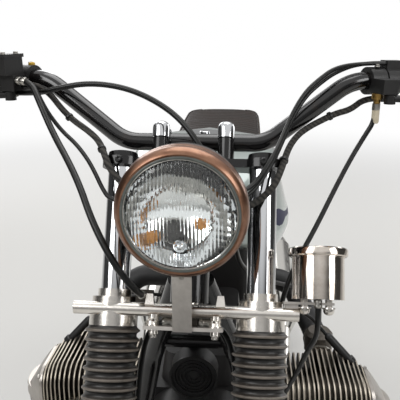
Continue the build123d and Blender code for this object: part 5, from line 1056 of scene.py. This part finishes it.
strut_across, coil_turns, per_turn, coil_radius = 0.1423, 10, 24, 0.0228
eye = ((0.006, -0.0098), (0.0125, -0.0098), (0.013, -0.009), (0.013, 0.009), (0.0125, 0.0098),
       (0.006, 0.0098))
bm, coils = bmesh.new(), bmesh.new()
for side in (1, -1):
    top = Vector((side * strut_across, 0.6105, 0.775))
    foot = Vector((side * strut_across, 0.6725, 0.372))
    along = (foot - top).normalized()
    length = (foot - top).length
    for end in (top, foot):
        turned(bm, eye, end, (side, 0, 0), 28)
    turned(bm, ((0.009, 0.008), (0.012, 0.014), (0.0235, 0.020), (0.0245, 0.022), (0.0245, 0.040),
                (0.0185, 0.042), (0.0185, 0.170), (0.0165, 0.172)), top, along, 36)
    turned(bm, ((0.0055, 0.165), (0.0055, length - 0.030)), top, along, 20)
    turned(bm, ((0.0235, 0.303), (0.0245, 0.305), (0.0245, 0.312), (0.016, 0.316), (0.016, 0.380),
                (0.009, length - 0.008)), top, along, 36)
    aside = along.orthogonal().normalized()
    other = along.cross(aside)
    spots = []
    for step in range(coil_turns * per_turn + 1):
        angle = tau * step / per_turn
        down = 0.044 + 0.2555 * step / (coil_turns * per_turn)
        spots.append(top + along * down + (aside * cos(angle) + other * sin(angle)) * coil_radius)
    sheath(coils, spots, 0.0036, 0, 10)
dampers = piece("shock_dampers", bm, "frame", satin)
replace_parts(dampers, "shocks")
piece("shock_springs", coils, "frame", chrome)
dress(nickel, "rear_axle")

# Engine: sand-cast aluminium barrels, heads and covers with deep fins, greyed by heat and road
# dirt, with painted shade on the fins' sides; a wrinkle-painted case, and plated nuts on the
# covers.
engine_alloy, tree, place = material("Sand_cast_aluminium")
# sand castings: pale warm grey, 0.8 mm grit on 6 mm lumps, darker where dirt lies in patches
grit = add(tree, "TexNoise", {"Vector": place, "Scale": 1200.0, "Detail": 2.0})
cloud = add(tree, "TexNoise", {"Vector": place, "Scale": 18.0, "Detail": 7.0, "Roughness": 0.65})
lump = add(tree, "TexNoise", {"Vector": place, "Scale": 160.0, "Detail": 3.0})
tone = add(tree, "Mix", {0: cloud.outputs[0], 6: linear("#7D776F"), 7: linear("#B9B3AA")},
           data_type="RGBA")
rough = add(tree, "MapRange", {0: lump.outputs[0], 3: 0.34, 4: 0.56})
height = add(tree, "Math", {0: grit.outputs[0], 1: lump.outputs[0]}, operation="ADD")
grain = add(tree, "Bump", {"Height": height.outputs[0], "Strength": 0.22, "Distance": 0.0006})
shader = add(tree, "BsdfPrincipled", {"Base Color": tone.outputs[2], "Metallic": 0.85,
                                      "Roughness": rough.outputs[0], "Normal": grain.outputs[0]})
add(tree, "OutputMaterial", {"Surface": shader.outputs[0]})
dress(engine_alloy, "sump", "gearbox")

dull_dark_zinc, tree, place = material("Dull_dark_zinc_casting")
# zinc die castings: dark grey-brown and dull, with 5 mm blotches
blotch = add(tree, "TexNoise", {"Vector": place, "Scale": 200.0, "Detail": 5.0})
tone = add(tree, "Mix", {0: blotch.outputs[0], 6: linear("#3E3A35"), 7: linear("#77716A")},
           data_type="RGBA")
shader = add(tree, "BsdfPrincipled", {"Base Color": tone.outputs[2], "Metallic": 0.8,
                                      "Roughness": 0.5})
add(tree, "OutputMaterial", {"Surface": shader.outputs[0]})
dress(dull_dark_zinc, "carburettors")

finned, tree, place = material("Fin_castings_dirt_and_painted_shade")
# finned castings: the fins' edges rubbed bright, their sides dark with oil and road dirt and with
# painted shade between the fins
facing = add(tree, "SeparateXYZ", {0: add(tree, "NewGeometry").outputs["Normal"]})
aside = add(tree, "Math", {0: facing.outputs["X"]}, operation="ABSOLUTE")
dirt = add(tree, "TexNoise", {"Vector": place, "Scale": 40.0, "Detail": 5.0, "Roughness": 0.6})
lined = add(tree, "MapRange", {0: aside.outputs[0], 1: 0.45, 2: 0.9, 3: 0.0, 4: 1.0})
edge = add(tree, "Mix", {0: dirt.outputs[0], 6: linear("#857D70"), 7: linear("#C9C0B1")},
           data_type="RGBA")
flank_dirt_and_shade = add(tree, "Mix", {0: dirt.outputs[0], 6: linear("#1A1715"), 7: linear("#4A433B")},
            data_type="RGBA")
tone = add(tree, "Mix", {0: lined.outputs[0], 6: edge.outputs[2], 7: flank_dirt_and_shade.outputs[2]},
           data_type="RGBA")
rough = add(tree, "MapRange", {0: dirt.outputs[0], 3: 0.3, 4: 0.5})
shader = add(tree, "BsdfPrincipled", {"Base Color": tone.outputs[2], "Metallic": 0.8,
                                      "Roughness": rough.outputs[0]})
add(tree, "OutputMaterial", {"Surface": shader.outputs[0]})
dress(finned, "barrels", "cylinder_heads")

brushed_cover, tree, place = material("Scoured_cover_aluminium")
# covers scoured with fine pads: pale warm grey, soft shine, faint 2 mm scratches
scour = add(tree, "TexNoise", {"Vector": place, "Scale": 500.0, "Detail": 2.0})
cloud = add(tree, "TexNoise", {"Vector": place, "Scale": 25.0, "Detail": 6.0, "Roughness": 0.6})
tone = add(tree, "Mix", {0: cloud.outputs[0], 6: linear("#8E8881"), 7: linear("#C9C4BE")},
           data_type="RGBA")
rough = add(tree, "MapRange", {0: cloud.outputs[0], 3: 0.26, 4: 0.42})
grain = add(tree, "Bump", {"Height": scour.outputs[0], "Strength": 0.12, "Distance": 0.0004})
shader = add(tree, "BsdfPrincipled", {"Base Color": tone.outputs[2], "Metallic": 1.0,
                                      "Roughness": rough.outputs[0], "Normal": grain.outputs[0]})
add(tree, "OutputMaterial", {"Surface": shader.outputs[0]})
dress(brushed_cover, "rocker_covers")

wrinkle, tree, place = material("Wrinkle_black_paint")
# wrinkle finish: satin black with ridges about 1.5 mm apart, drawn at 2.5 mm to show
ridge = add(tree, "TexVoronoi", {"Vector": place, "Scale": 400.0}, feature="DISTANCE_TO_EDGE")
film = add(tree, "TexNoise", {"Vector": place, "Scale": 15.0, "Detail": 6.0})
tone = add(tree, "Mix", {0: film.outputs[0], 6: linear("#0D0D0E"), 7: linear("#1F1D1C")},
           data_type="RGBA")
grain = add(tree, "Bump", {"Height": ridge.outputs[0], "Strength": 0.5, "Distance": 0.0006})
shader = add(tree, "BsdfPrincipled", {"Base Color": tone.outputs[2], "Roughness": 0.45,
                                      "Normal": grain.outputs[0]})
add(tree, "OutputMaterial", {"Surface": shader.outputs[0]})
dress(wrinkle, "crankcase", "airbox")

# the two banks: their staggered places in millimetres by side, and the level of their bores
banks = {1: -147, -1: -113}
bore_level = 0.392
cover_nuts, flange_nuts = [], []
for side, bank in banks.items():
    cover_nuts += [((side * 0.3722, bank / 1000, bore_level), (side, 0, 0))]
    for back in (-0.057, 0.057):
        for up in (-0.052, 0.052):
            spot = (side * 0.3305, bank / 1000 + back, bore_level + up)
            flange_nuts.append((spot, (side, 0, 0)))
bolts("cover_centre_nuts", cover_nuts, 0.0075, 0.008, "frame", nickel)
bolts("cover_flange_nuts", flange_nuts, 0.0045, 0.005, "frame", nickel)
case_screws = [((x, -0.2815, z), (0, -1, 0))
               for x in (-0.075, 0.075) for z in (0.290, 0.345, 0.400, 0.452)]
bolts("front_cover_screws", case_screws, 0.0042, 0.005, "frame", nickel, True)
pan_screws = [((side * 0.078, y, 0.2325), (0, 0, -1))
              for side in (1, -1) for y in (-0.19, -0.13, -0.07, -0.01, 0.04)]
bolts("sump_screws", pan_screws, 0.0042, 0.0035, "frame", nickel)

bm = bmesh.new()
bands = bmesh.new()
plug_cap = ((0.0112, 0.0), (0.0112, 0.010), (0.0085, 0.012), (0.0085, 0.070), (0.0078, 0.074),
            (0.0045, 0.078))
for side, bank in banks.items():
    bank /= 1000
    turned(bm, plug_cap, (side * 0.300, bank + 0.040, 0.468), (side * -0.58, 0.10, 0.62), 24)
    for y in (bank + 0.1025, bank + 0.163, bank + 0.178):
        turned(bands, ((0.0272, 0.0), (0.0282, 0.0006), (0.0282, 0.0062), (0.0272, 0.0068)),
               (side * 0.245, y, 0.437), (0, 1, 0), 40)
piece("plug_caps", bm, "frame", satin)
piece("intake_bands", bands, "frame", nickel)
leads = bmesh.new()
for side, bank in banks.items():
    route = ((247, bank + 49, 524), (232, bank + 51, 541), (214, bank + 48, 562),
             (190, bank + 30, 585), (150, bank + 10, 598), (90, -90, 600), (62, -85, 575),
             (60, -85, 548))
    sheath(leads, smooth_route([(side * x, y, z) for x, y, z in route]), 0.0035)
piece("plug_leads", leads, "frame", moulded)

matt, tree, place = material("Moulded_black_plastic")
# moulded ABS and rubber: matt black, with a fine spark-eroded skin and grey scuffs
skin = add(tree, "TexNoise", {"Vector": place, "Scale": 900.0, "Detail": 2.0})
scuff = add(tree, "TexNoise", {"Vector": place, "Scale": 35.0, "Detail": 6.0, "Roughness": 0.7})
tone = add(tree, "Mix", {0: scuff.outputs[0], 6: linear("#0B0B0C"), 7: linear("#1F1E1E")},
           data_type="RGBA")
grain = add(tree, "Bump", {"Height": skin.outputs[0], "Strength": 0.2, "Distance": 0.0003})
shader = add(tree, "BsdfPrincipled", {"Base Color": tone.outputs[2], "Roughness": 0.55,
                                      "Normal": grain.outputs[0]})
add(tree, "OutputMaterial", {"Surface": shader.outputs[0]})
dress(matt, "intake_tubes", "battery", "horn")
bm = bmesh.new()
ringed(bm, ((0.0352, -0.0005), (0.0388, 0.001), (0.0388, 0.0045), (0.0352, 0.0045)),
       (0, -0.3675, 0.596), (0, -1, 0), 48)
for radius in (0.008, 0.014, 0.020, 0.026):
    ringed(bm, ((radius, 0.0), (radius + 0.0018, 0.0), (radius + 0.0018, 0.0022), (radius, 0.0022)),
           (0, -0.3640, 0.596), (0, -1, 0), 40)
piece("horn_rings", bm, "frame", satin)

# Exhausts: bent headers and rolled silencers of stainless steel, welded and polished, that
# heat has turned straw and blue near the ports.
blued, tree, place = material("Heat_tinted_stainless")
# polished stainless: straw and blue within 150 mm of the port, then clear metal
parts = add(tree, "SeparateXYZ", {0: place})
warm = add(tree, "MapRange", {0: parts.outputs["Z"], 1: 0.26, 2: 0.40, 3: 0.0, 4: 1.0})
ahead = add(tree, "MapRange", {0: parts.outputs["Y"], 1: -0.02, 2: 0.10, 3: 1.0, 4: 0.0})
heat = add(tree, "Math", {0: warm.outputs[0], 1: ahead.outputs[0]}, operation="MULTIPLY")
tint = add(tree, "ValToRGB", {0: heat.outputs[0]})
for spot, colour in ((0.0, "#C9C7C2"), (0.45, "#C9BFA4"), (0.7, "#B08B58"), (0.9, "#75727F")):
    mark = tint.color_ramp.elements[0] if spot == 0.0 else tint.color_ramp.elements.new(spot)
    mark.color = linear(colour)
tint.color_ramp.elements[-1].color = linear("#6E7E94")
cloud = add(tree, "TexNoise", {"Vector": place, "Scale": 60.0, "Detail": 5.0})
rough = add(tree, "MapRange", {0: cloud.outputs[0], 3: 0.08, 4: 0.28})
shader = add(tree, "BsdfPrincipled", {"Base Color": tint.outputs[0], "Metallic": 1.0,
                                      "Roughness": rough.outputs[0]})
add(tree, "OutputMaterial", {"Surface": shader.outputs[0]})
dress(blued, "exhausts")

# Fuel tank: pressed and welded steel in a pale grey-green metallic enamel under clear coat,
# with a chromed cap that locks on a collar.
enamel, tree, place = material("Pale_metallic_enamel")
# baked enamel: pale grey-green, fine flake about 1 mm across, and a thick clear coat. A satin
# dark blue stripe lies on it, 29 mm tall behind the fork and 10 mm where it runs back
flake = add(tree, "TexVoronoi", {"Vector": place, "Scale": 1100.0})
drift = add(tree, "TexNoise", {"Vector": place, "Scale": 6.0, "Detail": 3.0})
tone = add(tree, "Mix", {0: drift.outputs[0], 6: linear("#97A29E"), 7: linear("#B0BBB6")},
           data_type="RGBA")
rough = add(tree, "MapRange", {0: flake.outputs[0], 3: 0.28, 4: 0.42})
spot = add(tree, "SeparateXYZ", {0: place})
level = add(tree, "MapRange", {0: spot.outputs["Y"], 1: -0.22, 2: -0.12, 3: 0.815, 4: 0.795})
half = add(tree, "MapRange", {0: spot.outputs["Y"], 1: -0.205, 2: -0.17, 3: 0.0145, 4: 0.005})
point = add(tree, "MapRange", {0: spot.outputs["Y"], 1: -0.250, 2: -0.222, 3: 0.0, 4: 0.0145})
half = add(tree, "Math", {0: half.outputs[0], 1: point.outputs[0]}, operation="MINIMUM")
stripe = add(tree, "Math", {0: spot.outputs["Z"], 1: level.outputs[0], 2: half.outputs[0]},
             operation="COMPARE")
paint = add(tree, "Mix", {0: stripe.outputs[0], 6: tone.outputs[2], 7: linear("#12163F")},
            data_type="RGBA")
satin_rough = add(tree, "Mix", {0: stripe.outputs[0], 2: rough.outputs[0], 3: 0.6})
glaze = add(tree, "MapRange", {0: stripe.outputs[0], 3: 1.0, 4: 0.1})
shader = add(tree, "BsdfPrincipled", {"Base Color": paint.outputs[2], "Metallic": 0.35,
                                      "Roughness": satin_rough.outputs[0],
                                      "Coat Weight": glaze.outputs[0], "Coat Roughness": 0.04})
add(tree, "OutputMaterial", {"Surface": shader.outputs[0]})
dress(enamel, "fuel_tank")
dress(chrome, "filler_cap")
bm = bmesh.new()
ringed(bm, ((0.0335, 0.0), (0.0365, 0.0), (0.0372, 0.0030), (0.0362, 0.0050), (0.0340, 0.0050)),
       (0, -0.120, 0.9295), (0, 0, 1), 56)
turned(bm, ((0.009, 0.0), (0.009, 0.0022), (0.0075, 0.0032), (0.0005, 0.0034)),
       (0, -0.120, 0.9402), (0, 0, 1), 32)
piece("filler_collar", bm, "frame", chrome)

# Seat: a foam bench in dark oiled leather, with rolled pleats sewn across its top, a plain
# side band, a piped edge, and a row of stitches along the piping.
seat_leather, tree, place = material("Oiled_brown_leather")
# corrected grain leather: 1.5 mm pebble drawn at 2.5 mm, paler where rubbed, with a soft gloss
pebble = add(tree, "TexVoronoi", {"Vector": place, "Scale": 400.0}, feature="DISTANCE_TO_EDGE")
rub = add(tree, "TexNoise", {"Vector": place, "Scale": 14.0, "Detail": 5.0})
tone = add(tree, "Mix", {0: rub.outputs[0], 6: linear("#0F0B08"), 7: linear("#281B14")},
           data_type="RGBA")
rough = add(tree, "MapRange", {0: rub.outputs[0], 3: 0.44, 4: 0.62})
grain = add(tree, "Bump", {"Height": pebble.outputs[0], "Strength": 0.35, "Distance": 0.0006})
shader = add(tree, "BsdfPrincipled", {"Base Color": tone.outputs[2], "Roughness": rough.outputs[0],
                                      "Normal": grain.outputs[0], "Specular IOR Level": 0.25})
add(tree, "OutputMaterial", {"Surface": shader.outputs[0]})
# place along the seat, half width, bottom, top
seat_marks = (
    (0.188, 0.090, 0.794, 0.858), (0.300, 0.112, 0.7645, 0.854),
    (0.420, 0.118, 0.7835, 0.847), (0.6405, 0.118, 0.8135, 0.8475),
    (0.7005, 0.1176, 0.8188, 0.8482), (0.7400, 0.1162, 0.8223, 0.8486),
    (0.7705, 0.1101, 0.8250, 0.8490), (0.7850, 0.1043, 0.8267, 0.8483),
    (0.8005, 0.0945, 0.8285, 0.8475), (0.8100, 0.0853, 0.8306, 0.8462),
    (0.8185, 0.0728, 0.8325, 0.8450), (0.8240, 0.0602, 0.8335, 0.8435),
    (0.8275, 0.0469, 0.8341, 0.8426), (0.8295, 0.0327, 0.8345, 0.8420),
)
seat_front, seat_end, end_round = 0.186, 0.8295, 0.02
pleats_from, pleats_to, pleat_pitch, pleat_depth = 0.225, 0.79, 0.0295, 0.0055


def seat_at(y):
    """Half width, bottom and top of the seat at one place along it."""
    for (y0, *first), (y1, *last) in zip(seat_marks, seat_marks[1:]):
        if y <= y1 + 1e-6:
            share = max(0.0, min(1.0, (y - y0) / (y1 - y0)))
            share = share * share * (3 - 2 * share) if y1 < 0.7 else share
            return [a + (b - a) * share for a, b in zip(first, last)]
    return list(seat_marks[-1][1:])


def seat_point(y, angle, out=0.0):
    """A point of the seat's skin: angle 0 is the right edge and a quarter turn is the top."""
    half, low, top = seat_at(y)
    closing = min(1.0, (y - seat_front) / end_round, (seat_end - y) / end_round)
    ease = sqrt(max(0.0, 1 - (1 - max(0.0, closing)) ** 2))
    half *= 0.86 + 0.14 * ease
    middle, tall = (low + top) / 2, (top - low) / 2 * (0.45 + 0.55 * ease)
    cosine, sine = cos(angle), sin(angle)
    x = (half + out) * (abs(cosine) ** 0.66) * (1 if cosine > 0 else -1)
    z = (tall + out) * (abs(sine) ** (0.85 if sine > 0 else 0.35)) * (1 if sine > 0 else -1)
    # the pleats are pressed in across the top and fade out beside the piping
    if sine > 0.55 and pleats_from < y < pleats_to and abs(x) < half * 0.9:
        edge = min(1.0, (half * 0.9 - abs(x)) / 0.014) * min(1.0, (sine - 0.55) / 0.1)
        swell = abs(sin(pi * (y - pleats_from) / pleat_pitch)) ** 0.45
        z -= pleat_depth * edge * (1 - swell)
    return Vector((x, y, middle + z))


rows, around, first_row, last_row = 320, 72, 0.1862, 0.8293
bm = bmesh.new()
rings = []
for step in range(rows + 1):
    y = first_row + (last_row - first_row) * step / rows
    rings.append([bm.verts.new(seat_point(y, tau * n / around)) for n in range(around)])
closed(bm, rings)
bench = piece("seat_bench", bm, "frame", seat_leather, 60)
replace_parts(bench, "seat")
piping = bmesh.new()
for angle in (0.42, pi - 0.42):
    line = [seat_point(0.200 + 0.615 * n / 120, angle, 0.0008) for n in range(121)]
    sheath(piping, line, 0.0026, 0, 10)
piece("seat_piping", piping, "frame", seat_leather)
thread, tree, place = material("Waxed_linen_thread")
# waxed thread: pale tan, slightly glossy, with 1 mm twist
twist = add(tree, "TexNoise", {"Vector": place, "Scale": 1000.0, "Detail": 1.0})
tone = add(tree, "Mix", {0: twist.outputs[0], 6: linear("#8B7355"), 7: linear("#C2A982")},
           data_type="RGBA")
shader = add(tree, "BsdfPrincipled", {"Base Color": tone.outputs[2], "Roughness": 0.5})
add(tree, "OutputMaterial", {"Surface": shader.outputs[0]})
stitch_pitch, stitches_a_side = 0.0062, 96
stitches = bmesh.new()
for angle in (0.31, pi - 0.31):
    for number in range(stitches_a_side):
        y = 0.212 + number * stitch_pitch
        line = [seat_point(y + part, angle, 0.0003) for part in (0.0, 0.002, 0.004)]
        sheath(stitches, line, 0.0006, 0, 6)
piece("seat_stitches", stitches, "frame", thread)

# Tail lamp: a red lens, moulded in acrylic, that a chromed steel bezel holds. It sits behind
# the seat rails' last cross tube.
red, tree, place = material("Moulded_red_acrylic")
# moulded acrylic with 4 mm prisms inside: deep red, glossy, partly clear
prism = add(tree, "TexVoronoi", {"Vector": place, "Scale": 250.0}, distance="CHEBYCHEV")
grain = add(tree, "Bump", {"Height": prism.outputs[0], "Strength": 0.4, "Distance": 0.001})
shader = add(tree, "BsdfPrincipled", {"Base Color": linear("#9B1414"), "Roughness": 0.12,
                                      "Transmission Weight": 0.25, "Normal": grain.outputs[0]})
add(tree, "OutputMaterial", {"Surface": shader.outputs[0]})
dress(red, "tail_lamp")
bm = bmesh.new()
ringed(bm, ((0.0290, 0.0), (0.0318, 0.001), (0.0318, 0.008), (0.0285, 0.010)),
       (0, 0.8085, 0.796), (0, 1, 0), 48)
piece("tail_lamp_bezel", bm, "frame", chrome)
